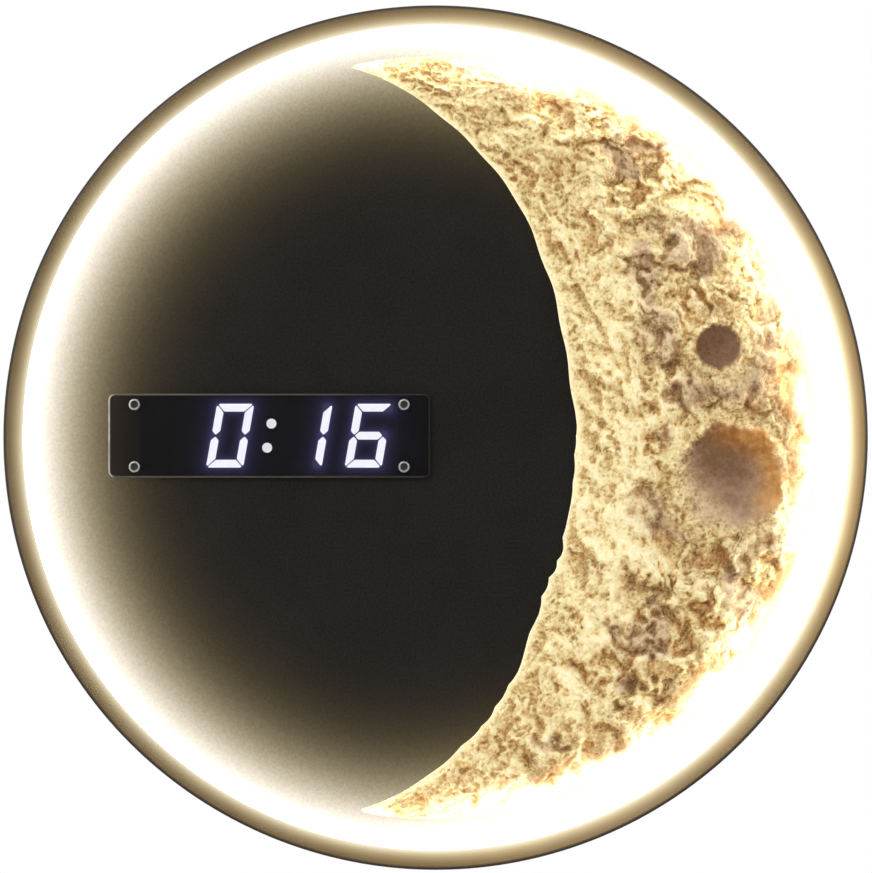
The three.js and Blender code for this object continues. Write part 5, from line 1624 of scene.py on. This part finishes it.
@dataclass
class MoonRelief(Assembly):
    """The cast crescent, a fine field of lumps, pores and craters."""

    # Outline: radius of the limb, how far right the inner edge reaches, half the width of its ellipse,
    # angle of the horns from +X and turn about the clock's axis in degrees, and share cut off each horn
    limb: float = 0.177
    terminator: float = 0.0646
    half_width: float = 0.1282
    horn: float = 102.7
    tilt: float = 0.7
    trim: float = 0.006
    # How far each edge strays, and weight, rate and phase of each wave in that
    edge_wobble: float = 0.0011
    edge_waves: tuple[Triple, ...] = ((0.6, 41.0, 0.0), (0.4, 97.0, 2.0))
    limb_wobble: float = 0.002
    limb_waves: tuple[Triple, ...] = ((0.5, 29.0, 1.0), (0.5, 67.0, 0.0))
    # Lobes of the inner edge: depth below the centre, rate, weight and rate of their bend, and mean
    lobe: Fade = Fade(0.0013, -0.02, 0.05)
    lobe_waves: Triple = (230.0, 1.5, 97.0)
    lobe_base: float = 0.6
    # Z, half the length and shift of each place where the inner edge strays further
    bays: tuple[Triple, ...] = ((-0.078, 0.020, -0.0040), (0.105, 0.018, 0.0024))
    # Heights of the edge, the crown and the lowest place, and widths of the slopes behind both edges
    edge: float = 0.003
    crown: float = 0.014
    least: float = 0.002
    rise: float = 0.042
    limb_rise: float = 0.030
    # Lumps: width, height, weights of them and of those half as wide, and mean
    lump: float = 0.019
    lump_height: float = 0.005
    lump_weights: Point = (1.3, 0.7)
    lump_base: float = 0.6
    # Ribs along the inner edge: width and length, and height
    rib: Point = (0.016, 0.060)
    rib_height: float = 0.0035
    # Broken rock: distance from the inner edge, width of the change and its stray
    band: float = 0.028
    band_fade: float = 0.018
    band_sway: float = 0.03
    # Shelves in the rock: width, height, place on their random field, and share by its level
    shelf: float = 0.024
    shelf_drop: float = 0.004
    shelf_shift: Point = (31.0, 47.0)
    shelf_range: Fade = Fade(1.0, 0.44, 0.50)
    # How far outlines stray in broad sweeps and in small steps
    sway: float = 0.020
    nudge: float = 0.006
    # Share of the texture by the distance from each edge, and by the crescent's width
    inner_fade: Fade = Fade(1.0, 0.0, 0.004)
    limb_fade: Fade = Fade(1.0, 0.0, 0.008)
    horn_fade: Fade = Fade(1.0, 0.004, 0.03)
    # Steps across and along, and angle past which an edge stays sharp, in degrees
    steps: tuple[int, int] = (152, 620)
    crease: float = 75.0
    # Craters: floor by the distance from the middle in radii, and share of the shelves' looks left by each
    crater_floor: Fade = Fade(1.0, 0.45, 1.0)
    shelf_keep: float = 0.7
    craters: tuple[Crater, ...] = (
        Crater(0.54, 0.807, 0.013, 0.006),
        Crater(0.78, 0.728, 0.006, 0.005),
        Crater(0.52, 0.669, 0.013, 0.006),
        Crater(0.56, 0.733, 0.007, 0.005),
        Crater(0.70, 0.641, 0.010, 0.005),
        Crater(0.42, 0.359, 0.014, 0.006),
        Crater(0.66, 0.394, 0.017, 0.005),
        Crater(0.31, 0.277, 0.007, 0.005),
        Crater(0.60, 0.279, 0.009, 0.005),
        Crater(0.46, 0.201, 0.006, 0.004),
    )
    collars: tuple[Collar, ...] = (
        Pit(0.65, 0.571, 0.010, 0.003, 0.006, 0.017, 0.005),
        Basin(0.65, 0.463, 0.024, 0.002, 0.007, 0.016, 0.0045),
    )

    def edges(self, along: Array) -> tuple[Array, Array]:
        """Works out both edges.

        Args:
            along: Places from the lower horn, 0, to the upper, 1.

        Returns:
            The inner edge and the limb, as complex numbers x + iz.
        """
        limb_half = math.radians(self.horn)
        horn_x, horn_z = self.limb * math.cos(limb_half), self.limb * math.sin(limb_half)
        centre = self.terminator - self.half_width
        inner_half = math.acos((horn_x - centre) / self.half_width)
        half_height = horn_z / math.sin(inner_half)
        sweep, fade = 2 * along - 1, np.sin(np.pi * along)
        turn = sweep * inner_half
        z = half_height * np.sin(turn)
        edge_wave, limb_wave = (
            sum(weight * np.sin(rate * along + phase) for weight, rate, phase in waves)
            for waves in (self.edge_waves, self.limb_waves)
        )
        rate, bend, bend_rate = self.lobe_waves
        lobes = np.abs(np.sin(rate * z + bend * np.sin(bend_rate * z))) - self.lobe_base
        stray = self.edge_wobble * fade * edge_wave + self.lobe.after(-z) * fade * lobes
        for place, reach, shift in self.bays:
            stray = stray + shift * bell(z, place, reach)
        inner = centre + (self.half_width + stray) * np.cos(turn) + 1j * (half_height + stray) * np.sin(turn)
        limb = (self.limb + self.limb_wobble * fade * (limb_wave - 1)) * np.exp(1j * sweep * limb_half)
        return inner, limb

    def spot(self, hollow: Hollow) -> complex:
        """Returns the middle of a hollow as x + iz."""
        inner, limb = self.edges(np.array(hollow.along))
        return complex(inner + (limb - inner) * hollow.across)

    def ground(self, across: Array, along: Array) -> Ground:
        """Lays out the places of the relief.

        Args:
            across: Places from the inner edge, 0, to the limb, 1.
            along: Places from the lower horn, 0, to the upper, 1.

        Returns:
            The places.
        """
        inner, limb = self.edges(along)
        width = np.abs(limb - inner)
        place = inner + (limb - inner) * across
        from_inner, from_limb = across * width, (1 - across) * width
        sway, swing, nudge = (waves.stray(place) for waves in (Waves.SWAY, Waves.SWING, Waves.NUDGE))
        strayed = place + self.sway * (sway + 1j * swing) + self.nudge * (1 - 1j) * nudge
        run = along * 2 * math.radians(self.horn) * self.limb
        rocky = between(from_inner + self.band_sway * sway, self.band, self.band + self.band_fade)
        body = self.inner_fade.after(from_inner) * self.limb_fade.after(from_limb)
        body = body * self.horn_fade.after(width)
        return Ground(place, strayed, width, from_inner, from_limb, run, rocky, body)

    def field(self, across: Array, along: Array) -> tuple[Array, Array, Array]:
        """Works out the relief.

        Args:
            across: Places from the inner edge, 0, to the limb, 1.
            along: Places from the lower horn, 0, to the upper, 1.

        Returns:
            The places as x + iz, their heights, and their tone, glare, sand and painted ring light from 0 to
            1.
        """
        ground = self.ground(across, along)
        place, collars = ground.place, [(collar, self.spot(collar)) for collar in self.collars]
        height, sunk = self.main_forms(ground)
        for collar, centre in collars:
            height = collar.raised(place, centre, height, self.least)
        height = height + ground.body * ReliefTexture(ground).heights()
        mouths = [collar.mouth(place, centre) for collar, centre in collars]
        shut, cut = np.zeros_like(height), height
        for mouth, floor in mouths:
            cut = cut + (np.minimum(floor, cut) - cut) * mouth
            shut = np.maximum(shut, mouth)
        looks = ReliefLooks(ground, height, sunk, shut, collars).all()
        glare = looks[1]
        for (collar, centre), (mouth, _) in zip(collars, mouths):
            inside = collar.inside(place, centre, glare)
            looks = [part + (new - part) * mouth for part, new in zip(looks, inside)]
        return place, np.maximum(cut, self.least), np.stack([np.clip(part, 0.0, 1.0) for part in looks], -1)

    def main_forms(self, ground: Ground) -> tuple[Array, Array]:
        """Works out the crown with its lumps, ribs, broken shelves and craters.

        Args:
            ground: The places.

        Returns:
            The heights, and how far each place is sunk in a hollow, from 0 to 1.
        """
        x, z, strayed = ground.place.real, ground.place.imag, ground.strayed
        crown = between(ground.from_inner, -self.rise / 3, self.rise)
        crown = crown * between(ground.from_limb, -self.limb_rise / 3, self.limb_rise)
        height = self.edge + (self.crown - self.edge) * crown
        lumps = self.lump_weights[0] * Terrain.field(x / self.lump, z / self.lump)
        lumps += self.lump_weights[1] * Terrain.field(2 * x / self.lump, 2 * z / self.lump)
        height = height + self.lump_height * crown * (lumps - self.lump_base)
        ribs = Terrain.field(ground.from_inner / self.rib[0], ground.run / self.rib[1]) - 0.5
        height = height + self.rib_height * crown * ribs
        right, up = self.shelf_shift
        shelf = Terrain.field(strayed.real / self.shelf + right, strayed.imag / self.shelf + up)
        sunk = ground.rocky * self.shelf_range.before(shelf)
        height = height - self.shelf_drop * crown * sunk
        for crater in self.craters:
            reach = np.abs(strayed - self.spot(crater)) / crater.radius
            height = height - crater.depth * np.clip(1 - reach**2, 0.0, None)
            sunk = np.maximum(self.shelf_keep * sunk, self.crater_floor.before(reach))
        return height, sunk

    def build(self) -> list[Piece]:
        """Returns the relief, built and finished."""
        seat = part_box("moon_relief")[1].y
        bm = bmesh.new()
        bmesh.ops.create_grid(bm, x_segments=self.steps[0], y_segments=self.steps[1], size=0.5)
        grid = np.array([vert.co[:2] for vert in bm.verts]) + 0.5
        order = np.lexsort((grid[:, 0].round(6), grid[:, 1].round(6)))
        shape = (self.steps[1] + 1, self.steps[0] + 1)
        across = grid[order, 0].reshape(shape)
        along = self.trim + (1 - 2 * self.trim) * grid[order, 1].reshape(shape)
        place, height, looks = self.field(across, along)
        place = place * np.exp(1j * math.radians(self.tilt))
        layer = bm.verts.layers.float_color.new(MoonCastWithPaintedLight.attribute)
        bm.verts.ensure_lookup_table()
        for index, spot, rise, look in zip(order, place.ravel(), height.ravel(), looks.reshape(-1, 4)):
            vert = bm.verts[index]
            vert.co = (spot.real, seat - rise, spot.imag)
            vert[layer] = look
        border = [edge for edge in bm.edges if edge.is_boundary]
        skirt = bmesh.ops.extrude_edge_only(bm, edges=border)["geom"]
        for vert in (part for part in skirt if isinstance(part, BMVert)):
            vert.co.y = seat
        foot = [part for part in skirt if isinstance(part, BMEdge)]
        bmesh.ops.triangle_fill(bm, use_beauty=False, use_dissolve=False, edges=foot, normal=(0, 1, 0))
        return [self.piece(bm, "moon_cast", "moon_cast", "moon_relief", crease=self.crease)]


@dataclass
class TimeDisplay(Assembly):
    """The lens with its screws, and the digits and colon behind it."""

    glyphs: tuple[Glyph, ...] = (Glyph.BLANK, Glyph.ZERO, Glyph.ONE, Glyph.SIX)  # What the four digits show
    width: float = 0.0172  # Width of a digit
    height: float = 0.0296  # Height of a digit
    bar: float = 0.0036  # Width of a segment
    gap: float = 0.0003  # Half the gap between segments
    corner: float = 0.0012  # Cut corner of a digit
    slant: float = 10.0  # Slant of the digits, in degrees
    dot: float = 0.0023  # Radius of a colon dot
    dot_spacing: float = 0.0112  # Distance between the dots
    base: float = 0.002  # Thickness of a guide's base
    seam: float = 0.00002  # Gap between the base and what stands on it
    lens_corner: float = 0.003  # Corner radius of the lens
    lens_edge: float = 0.0008  # Width of its polished edge
    screw_hole: float = 0.0017  # Radius of its screw holes
    screw_head: float = 0.002  # Height of its screws' heads
    halo_reach: float = 0.0010  # How far the halo reaches
    # Share of each of its parts, and how much wider it is
    halo_parts: tuple[Point, ...] = ((0.6, 1.0), (0.4, 4.0))
    rounding: float = 0.0004  # How far the segments' corners are rounded off
    halo_grid: float = 0.0009  # Spacing of the points that hold the halo

    def build(self) -> list[Piece]:
        """Returns the pieces, built and finished."""
        lit = LightGuide("lit_segment", (0.85, 0.85, 0.88), strength=5.4).material()
        dot = LightGuide("lit_dot", (0.7, 0.7, 0.72), ((0.78, 0.78, 0.84), (0.9, 0.9, 0.92)), 5.4).material()
        dark, pieces = self.palette.of("light_guide"), []
        for number, glyph in enumerate(self.glyphs, 1):
            shapes = [(outline, int(key not in glyph.value)) for key, outline in self.outlines().items()]
            node = f"digit_guide_{number}"
            pieces.append(self.guide(node, f"digit_{number}", [lit, dark], shapes, self.rounding))
        half = self.dot_spacing / 2
        places = self.sheared([(0.0, half), (0.0, -half)])
        dots = [(arc(place, self.dot, 0, 360, 32)[:-1], 0) for place in places]
        pieces.append(self.guide("colon_guide", "colon", [dot, dark], dots, 0.0))
        return [*pieces, self.lens(), *self.screws()]

    def sheared(self, points: Iterable[Point]) -> list[Point]:
        """Slants points as the digits are."""
        lean = math.tan(math.radians(self.slant))
        return [(x + lean * z, z) for x, z in points]

    def half_size(self) -> Point:
        """Returns half the width and half the height of a bar's centre lines."""
        return (self.width - self.bar) / 2, (self.height - self.bar) / 2

    def outlines(self) -> dict[str, list[Point]]:
        """Returns the outline of each segment about the digit's middle, by its letter."""
        half, gap, corner = self.bar / 2, self.gap, self.corner
        w, h = self.half_size()
        mitre = gap * math.sqrt(2)
        out_x, out_z = w + half, h + half
        top = [
            (-w + half + mitre, h - half),
            (-out_x + corner / 2 + gap, out_z - corner / 2),
            (-out_x + corner, out_z),
            (out_x - corner, out_z),
            (out_x - corner / 2 - gap, out_z - corner / 2),
            (w - half - mitre, h - half),
        ]
        side = [
            (w - half, h - half - mitre),
            (w - half, half + mitre),
            (w, mitre),
            (out_x, half + mitre),
            (out_x, out_z - corner),
            (out_x - corner / 2, out_z - corner / 2 - gap),
        ]
        left, right = (-w + mitre, 0.0), (w - mitre, 0.0)
        upper = [(-w + half + mitre, half), (w - half - mitre, half)]
        centre = [left, *upper, right, *((x, -z) for x, z in reversed(upper))]
        flips = {"a": (top, 1, 1), "b": (side, 1, 1), "c": (side, 1, -1), "d": (top, 1, -1)}
        flips |= {"e": (side, -1, -1), "f": (side, -1, 1), "g": (centre, 1, 1)}
        return {
            key: self.sheared((right * x, up * z) for x, z in points)
            for key, (points, right, up) in flips.items()
        }

    def bars(self) -> dict[str, list[Point]]:
        """Returns both ends of each segment's centre line, by its letter."""
        w, h = self.half_size()
        ends = {"a": ((-w, h), (w, h)), "g": ((-w, 0), (w, 0)), "d": ((-w, -h), (w, -h))}
        ends |= {"b": ((w, 0), (w, h)), "c": ((w, -h), (w, 0))}
        ends |= {"e": ((-w, -h), (-w, 0)), "f": ((-w, 0), (-w, h))}
        return {key: self.sheared(points) for key, points in ends.items()}

    @staticmethod
    def raised(
        bm: BMesh, outline: Sequence[Point], front: float, rear: float, index: int, rounding: float
    ) -> None:
        """Adds a prism with a finish of its own.

        Args:
            bm: Where it goes.
            outline: Its corners as X and Z.
            front: Y of its front.
            rear: Y of its rear.
            index: Index of its material.
            rounding: How far its corners are rounded off.
        """
        before = set(bm.faces)
        face = bm.faces.new([bm.verts.new((x, rear, z)) for x, z in outline])
        if rounding:
            round_off(bm, list(face.verts), rounding, 3, "VERTICES")
        thicken(bm, list(set(bm.faces) - before), front - rear)
        for made in set(bm.faces) - before:
            made.material_index = index

    def guide(
        self,
        node: str,
        name: str,
        materials: Sequence[Material],
        shapes: Iterable[tuple[Sequence[Point], int]],
        rounding: float,
    ) -> Piece:
        """Builds a light guide, a dark base with lit and dark shapes on it.

        Args:
            node: The CAD node that it replaces.
            name: The piece's name.
            materials: The lit and the dark finish.
            shapes: Outline of each shape about the guide's middle, and index of its finish.
            rounding: How far their corners are rounded off.

        Returns:
            The piece.
        """
        (low, high), centre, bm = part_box(node), middle(node), bmesh.new()
        corners = [(low.x, low.z), (high.x, low.z), (high.x, high.z), (low.x, high.z)]
        self.raised(bm, corners, high.y - self.base, high.y, 1, 0.0)
        for outline, index in shapes:
            points = [(x + centre.x, z + centre.z) for x, z in outline]
            self.raised(bm, points, low.y, high.y - self.base - self.seam, index, rounding)
        return finish_piece(bm, name, materials, "light_guide", [node])

    def halo(self, x: Array, z: Array) -> Array:
        """Works out the halo on the lens.

        Args:
            x: Places along X.
            z: Places along Z.

        Returns:
            The halo's strength at each place, from 0 to 1.
        """
        here, least, bars = x + 1j * z, np.full_like(x, 1.0), self.bars()
        for number, glyph in enumerate(self.glyphs, 1):
            centre = middle(f"digit_guide_{number}")
            for key in glyph.value:
                (ax, az), (bx, bz) = bars[key]
                start, along = complex(ax + centre.x, az + centre.z), complex(bx - ax, bz - az)
                share = np.clip(((here - start) / along).real, 0.0, 1.0)
                least = np.minimum(least, np.abs(here - start - along * share))
        distance = np.clip(least - self.bar / 2, 0.0, None)
        return sum(share * np.exp(-distance / self.halo_reach / wider) for share, wider in self.halo_parts)

    def lens(self) -> Piece:
        """Builds the lens with its screw holes, polished edge and halo."""
        (low, high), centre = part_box("display_lens"), middle("display_lens")
        bm = bmesh.new()
        sheet = rounded_face(bm, (high.x - low.x, high.z - low.z), (centre.x, centre.z), self.lens_corner, 8)
        for face in bmesh.ops.inset_individual(bm, faces=[sheet], thickness=self.lens_edge)["faces"]:
            face.material_index = 1
        outline = [edge for edge in bm.edges if edge.is_boundary]
        bmesh.ops.delete(bm, geom=[sheet], context="FACES_ONLY")
        wires = [edge for edge in bm.edges if edge.is_boundary and edge not in outline]
        for number in range(1, 5):
            screw = middle(f"lens_screw_{number}")
            hole = round_wire(bm, self.screw_hole, (screw.x, screw.z), 24)
            wires += {edge for vert in hole for edge in vert.link_edges}
        fill_wires(bm, wires)
        for vert in {vert for edge in outline for vert in edge.verts}:
            vert.co.y += self.lens_edge
        for normal, start, end in (((1, 0, 0), low.x, high.x), ((0, 0, 1), low.z, high.z)):
            count = round((end - start) / self.halo_grid)
            for number in range(1, count):
                cut = Vector(normal) * (start + (end - start) * number / count)
                everything = bm.verts[:] + bm.edges[:] + bm.faces[:]
                bmesh.ops.bisect_plane(bm, geom=everything, dist=MERGE, plane_co=cut, plane_no=normal)
        bmesh.ops.translate(bm, verts=bm.verts[:], vec=(0.0, low.y, 0.0))
        for vert in thicken(bm, bm.faces[:], 0.0):
            vert.co.y = high.y
        layer = bm.verts.layers.float.new(SmokedAcrylic.attribute)
        places = np.array([vert.co[:] for vert in bm.verts])
        halo = np.where(places[:, 1] < centre.y, self.halo(places[:, 0], places[:, 2]), 0.0)
        for vert, strength in zip(bm.verts, halo):
            vert[layer] = strength
        materials = [self.palette.of("tinted_acrylic"), PolishedEdgeWithPaintedLight().material()]
        return finish_piece(bm, "lens_plate", materials, "tinted_acrylic", ["display_lens"])

    def screws(self) -> list[Piece]:
        """Builds the four lens screws."""
        steel = PlatedMetal("screw_steel", (0.36, 0.355, 0.345), roughness=0.3).material()
        # A darker copy of the steel for the dish and the socket: painted shade.
        dark = PlatedMetal("painted_shade_steel", (0.045, 0.045, 0.047), roughness=0.4).material()
        pieces = []
        for number in range(1, 5):
            node = f"lens_screw_{number}"
            (low, high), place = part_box(node), middle(node)
            screw = HexScrew(
                head=(high.x - low.x) / 2,
                height=self.screw_head,
                socket=0.0025,
                socket_depth=0.0012,
                shank=0.0015,
                length=high.y - low.y - self.screw_head,
                dish=0.00178,
            )
            bm = screw.shape(Vector((place.x, low.y, place.z)), Facing.FRONT)
            pieces.append(finish_piece(bm, f"lens_cap_screw_{number}", [steel, dark], "steel", [node]))
        return pieces


@dataclass
class RearSide(Assembly):
    """The rear cover with its screws, the cable bush and the three time-setting buttons."""

    screw_count: int = 6  # Number of cover screws
    screw_shank: float = 0.0015  # Radius of their shanks
    clearance: float = 0.0002  # Gap around each screw and button
    keyhole_entry: float = 0.0045  # Radius of a keyhole's round entry
    keyhole_slot: float = 0.0023  # Half the width of its slot
    keyhole_rise: float = 0.010  # How far the slot rises
    keyhole_place: Point = (0.060, 0.105)  # X and Z of the right keyhole's entry
    button_hole: float = 0.0024  # Radius of a button's hole
    driver_hole: float = 0.0017  # Radius of the holes over the power supply's screws
    bush_bore: float = 0.00375  # Bore radius of the cable bush
    bush_outer: float = 0.00595  # Its radius in the cover
    bush_gap: float = 0.0003  # Gap between its flange and the cover
    bush_edge: float = 0.0006  # Radius of its edges
    edge: float = 0.0003  # Bevel of the cover's edges
    segments: int = 192  # Steps around the cover

    def build(self) -> list[Piece]:
        """Returns the pieces, built and finished."""
        return [self.cover(), *self.screws(), self.bush(), *self.buttons()]

    def keyhole(self, side: int) -> list[Point]:
        """Works out the outline of a keyhole.

        Args:
            side: The left, -1, or the right, 1.

        Returns:
            Its corners as X and Z.
        """
        x, z = side * self.keyhole_place[0], self.keyhole_place[1]
        neck = math.degrees(math.asin(self.keyhole_slot / self.keyhole_entry))
        slot = arc((x, z + self.keyhole_rise), self.keyhole_slot, 0, 180, 12)
        return slot + arc((x, z), self.keyhole_entry, 90 + neck, 450 - neck, 32)

    def cover(self) -> Piece:
        """Builds the cover, with its keyholes, countersinks and holes."""
        low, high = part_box("rear_cover")
        bm = bmesh.new()
        round_wire(bm, high.x, (0.0, 0.0), self.segments)
        for side in (-1, 1):
            wire(bm, self.keyhole(side))
            screw = middle(f"driver_screw_{1 if side < 0 else 2}")
            round_wire(bm, self.driver_hole, (screw.x, screw.z), 24)
        for name in ("set", "up", "down"):
            button = middle(f"{name}_button")
            round_wire(bm, self.button_hole, (button.x, button.z), 32)
        bush = middle("cable_bush")
        round_wire(bm, self.bush_outer + self.clearance, (bush.x, bush.z), 48)
        sinks = {}
        for number in range(1, self.screw_count + 1):
            node = f"cover_screw_{number}"
            screw, (near, far) = middle(node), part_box(node)
            sinks[number] = (screw, (far.x - near.x) / 2 + self.clearance)
            round_wire(bm, sinks[number][1], (screw.x, screw.z), 32)
        fill_wires(bm, bm.edges[:])
        inner = thicken(bm, bm.faces[:], low.y - high.y)
        for screw, radius in sinks.values():
            axis = Vector((screw.x, low.y, screw.z))
            reach = radius + self.clearance
            ring = [vert for vert in inner if (vert.co - axis).length < reach]
            narrow = (radius + low.y - high.y) / radius
            bmesh.ops.scale(bm, vec=(narrow, 1.0, narrow), space=Matrix.Translation(-axis), verts=ring)
        soften(bm, self.edge, 2, 70.0)
        return self.piece(bm, "back_cover", "cover_paint", "rear_cover", crease=20.0)

    def screws(self) -> list[Piece]:
        """Builds the countersunk cover screws."""
        pieces = []
        for number in range(1, self.screw_count + 1):
            node = f"cover_screw_{number}"
            (low, high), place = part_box(node), middle(node)
            head = (high.x - low.x) / 2
            cone = head - self.screw_shank
            screw = HexScrew(
                head=head,
                height=cone,
                socket=0.0021,
                socket_depth=0.0007,
                shank=self.screw_shank,
                length=high.y - low.y - cone,
                countersunk=True,
                chamfer=0.00015,
            )
            bm = screw.shape(Vector((place.x, high.y, place.z)), Facing.REAR)
            pieces.append(self.piece(bm, f"flat_screw_{number}", "steel", node))
        return pieces

    def bush(self) -> Piece:
        """Builds the rubber bush, with its flange inside the cover."""
        (low, high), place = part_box("cable_bush"), middle("cable_bush")
        flange, cover = (high.x - low.x) / 2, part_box("rear_cover")[0].y - self.bush_gap
        edge = self.bush_edge
        profile = [
            *arc((self.bush_outer - edge, high.y - edge), edge, 0, 90, 4),
            *arc((self.bush_bore + edge, high.y - edge), edge, 90, 180, 4),
            (self.bush_bore, low.y),
            (flange - edge, low.y),
            *arc((flange - edge, low.y + edge), edge, -90, 0, 4),
            (flange, cover),
            (self.bush_outer, cover),
        ]
        bm = turned(profile, 48, (place.x, place.z))
        return self.piece(bm, "rubber_bush", "rubber", "cable_bush")

    def buttons(self) -> list[Piece]:
        """Builds the three buttons, each with a flange and a domed tip."""
        pieces = []
        stem, dome, flange_height = 0.0017, 0.0004, 0.0006
        for name in ("set", "up", "down"):
            node = f"{name}_button"
            (low, high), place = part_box(node), middle(node)
            flange = (high.x - low.x) / 2
            profile = [
                (0.0, low.y),
                (flange, low.y),
                (flange, low.y + flange_height),
                (stem, low.y + flange_height),
                *arc((stem - dome, high.y - dome), dome, 0, 80, 5),
                (0.0, high.y),
            ]
            bm = turned(profile, 32, (place.x, place.z))
            pieces.append(self.piece(bm, f"{name}_plunger", "white_plastic", node, body=node))
        return pieces


@dataclass
class InnerParts(Assembly):
    """The CAD nodes whose shape is kept."""

    def build(self) -> list[Piece]:
        """Returns every CAD node that still shows, in the finish of its slot."""
        slots = {part["node"]: part["material_slot"] for part in frame["record"]["subparts"]}
        shown = {name: node for name, node in frame["nodes"].items() if not node.hide_render}
        for name, node in shown.items():
            node.data.materials.clear()
            node.data.materials.append(self.palette.of(slots[name]))
        return list(shown.values())


@dataclass
class Studio:
    """Camera, light and floor."""

    image: tuple[int, int] = (872, 873)  # Width and height of the picture, in pixels
    rim_middle: Point = (435.6, 437.6)  # Where the hoop's middle is in the picture
    rim_radius: float = 432.3  # The hoop's radius in the picture
    distance: float = 8.0  # From the camera to the hoop's widest place
    sensor: float = 36.0  # Width of the camera's sensor, in millimetres
    ambient: float = 0.45  # Level of the light from all round
    lamp_places: tuple[tuple[str, Triple, float, float], ...] = (  # Place, width and power of each lamp
        ("key", (-0.9, -1.5, 1.2), 1.2, 13.0),
        ("fill", (1.2, -1.3, 0.3), 1.4, 6.0),
        ("rear", (0.6, 1.6, 1.0), 1.4, 14.0),
    )
    floor_gap: float = 0.05  # From the hoop down to the floor
    floor_size: Point = (2.4, 1.6)  # Width and depth of the floor
    floor_place: float = -0.4  # Y of its middle

    def build(self) -> None:
        """Sets up the camera, the light and the floor."""
        bpy.context.scene.view_settings.view_transform = "Standard"
        self.camera()
        self.world()
        self.lamps()
        self.floor()

    def camera(self) -> None:
        """Stands the camera square in front of the clock."""
        low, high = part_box("rim_hoop")
        widest = low.y + Rim.bead
        data = bpy.data.cameras.new("camera")
        data.sensor_fit = "HORIZONTAL"
        data.sensor_width = self.sensor
        data.lens = self.rim_radius * self.distance / high.x * self.sensor / self.image[0]
        data.shift_x = (self.image[0] / 2 - self.rim_middle[0]) / self.image[0]
        data.shift_y = (self.rim_middle[1] - self.image[1] / 2) / self.image[0]
        camera = bpy.data.objects.new("camera", data)
        camera.location = (0.0, widest - self.distance, 0.0)
        camera.rotation_euler = (math.pi / 2, 0.0, 0.0)
        bpy.context.scene.collection.objects.link(camera)
        bpy.context.scene.camera = camera

    def world(self) -> None:
        """Makes the world white to look at, with a plain soft light of its own."""
        world = bpy.data.worlds.new("studio")
        world.use_nodes = True
        bpy.context.scene.world = world
        tree = world.node_tree
        background = next(n for n in tree.nodes if n.type == "BACKGROUND")
        background.inputs["Color"].default_value = (1.0, 1.0, 1.0, 1.0)
        rays = tree.nodes.new("ShaderNodeLightPath").outputs
        seen = rays["Is Camera Ray"]
        for name in ("Is Glossy Ray", "Is Transmission Ray"):
            either = tree.nodes.new("ShaderNodeMath")
            either.operation = "MAXIMUM"
            tree.links.new(seen, either.inputs[0])
            tree.links.new(rays[name], either.inputs[1])
            seen = either.outputs[0]
        level = tree.nodes.new("ShaderNodeMapRange")
        level.inputs["To Min"].default_value = self.ambient
        tree.links.new(seen, level.inputs["Value"])
        tree.links.new(level.outputs["Result"], background.inputs["Strength"])

    def lamps(self) -> None:
        """Hangs a soft key lamp, a fill and a lamp behind."""
        for name, place, size, power in self.lamp_places:
            data = bpy.data.lights.new(name, "AREA")
            data.size = size
            data.energy = power
            lamp = bpy.data.objects.new(name, data)
            lamp.location = place
            lamp.rotation_mode = "QUATERNION"
            lamp.rotation_quaternion = (-Vector(place)).to_track_quat("-Z", "Y")
            bpy.context.scene.collection.objects.link(lamp)

    def floor(self) -> None:
        """Lays a pale floor below the clock, short enough to stay out of the front view."""
        shader = Shader("floor")
        cloud = shader.noise(0.4, 3.0)
        colour = shader.mottled(cloud, (0.80, 0.80, 0.79), (0.84, 0.84, 0.83))
        shader.set({"Base Color": colour, "Roughness": 0.85})
        bm = bmesh.new()
        bmesh.ops.create_grid(bm, x_segments=8, y_segments=8, size=0.5)
        bmesh.ops.scale(bm, vec=(*self.floor_size, 1.0), verts=bm.verts[:])
        level = CAD_BOUNDS[0].z - self.floor_gap
        bmesh.ops.translate(bm, vec=(0.0, self.floor_place, level), verts=bm.verts[:])
        mesh = bpy.data.meshes.new("floor")
        bm.to_mesh(mesh)
        bm.free()
        mesh.materials.append(shader.material)
        floor = bpy.data.objects.new("floor", mesh)
        bpy.context.scene.collection.objects.link(floor)


def main() -> None:
    """Builds the clock's sub-assemblies in order and reports each piece."""
    logging.basicConfig(level=logging.INFO, format="%(message)s")
    Studio().build()
    palette = Palette(clock_finishes())
    for assembly in (Rim, MoonRelief, TimeDisplay, RearSide, InnerParts):
        for piece in assembly(palette).build():
            LOG.info("%s: %s", assembly.__name__, piece.name)


if __name__ == "__main__":
    main()
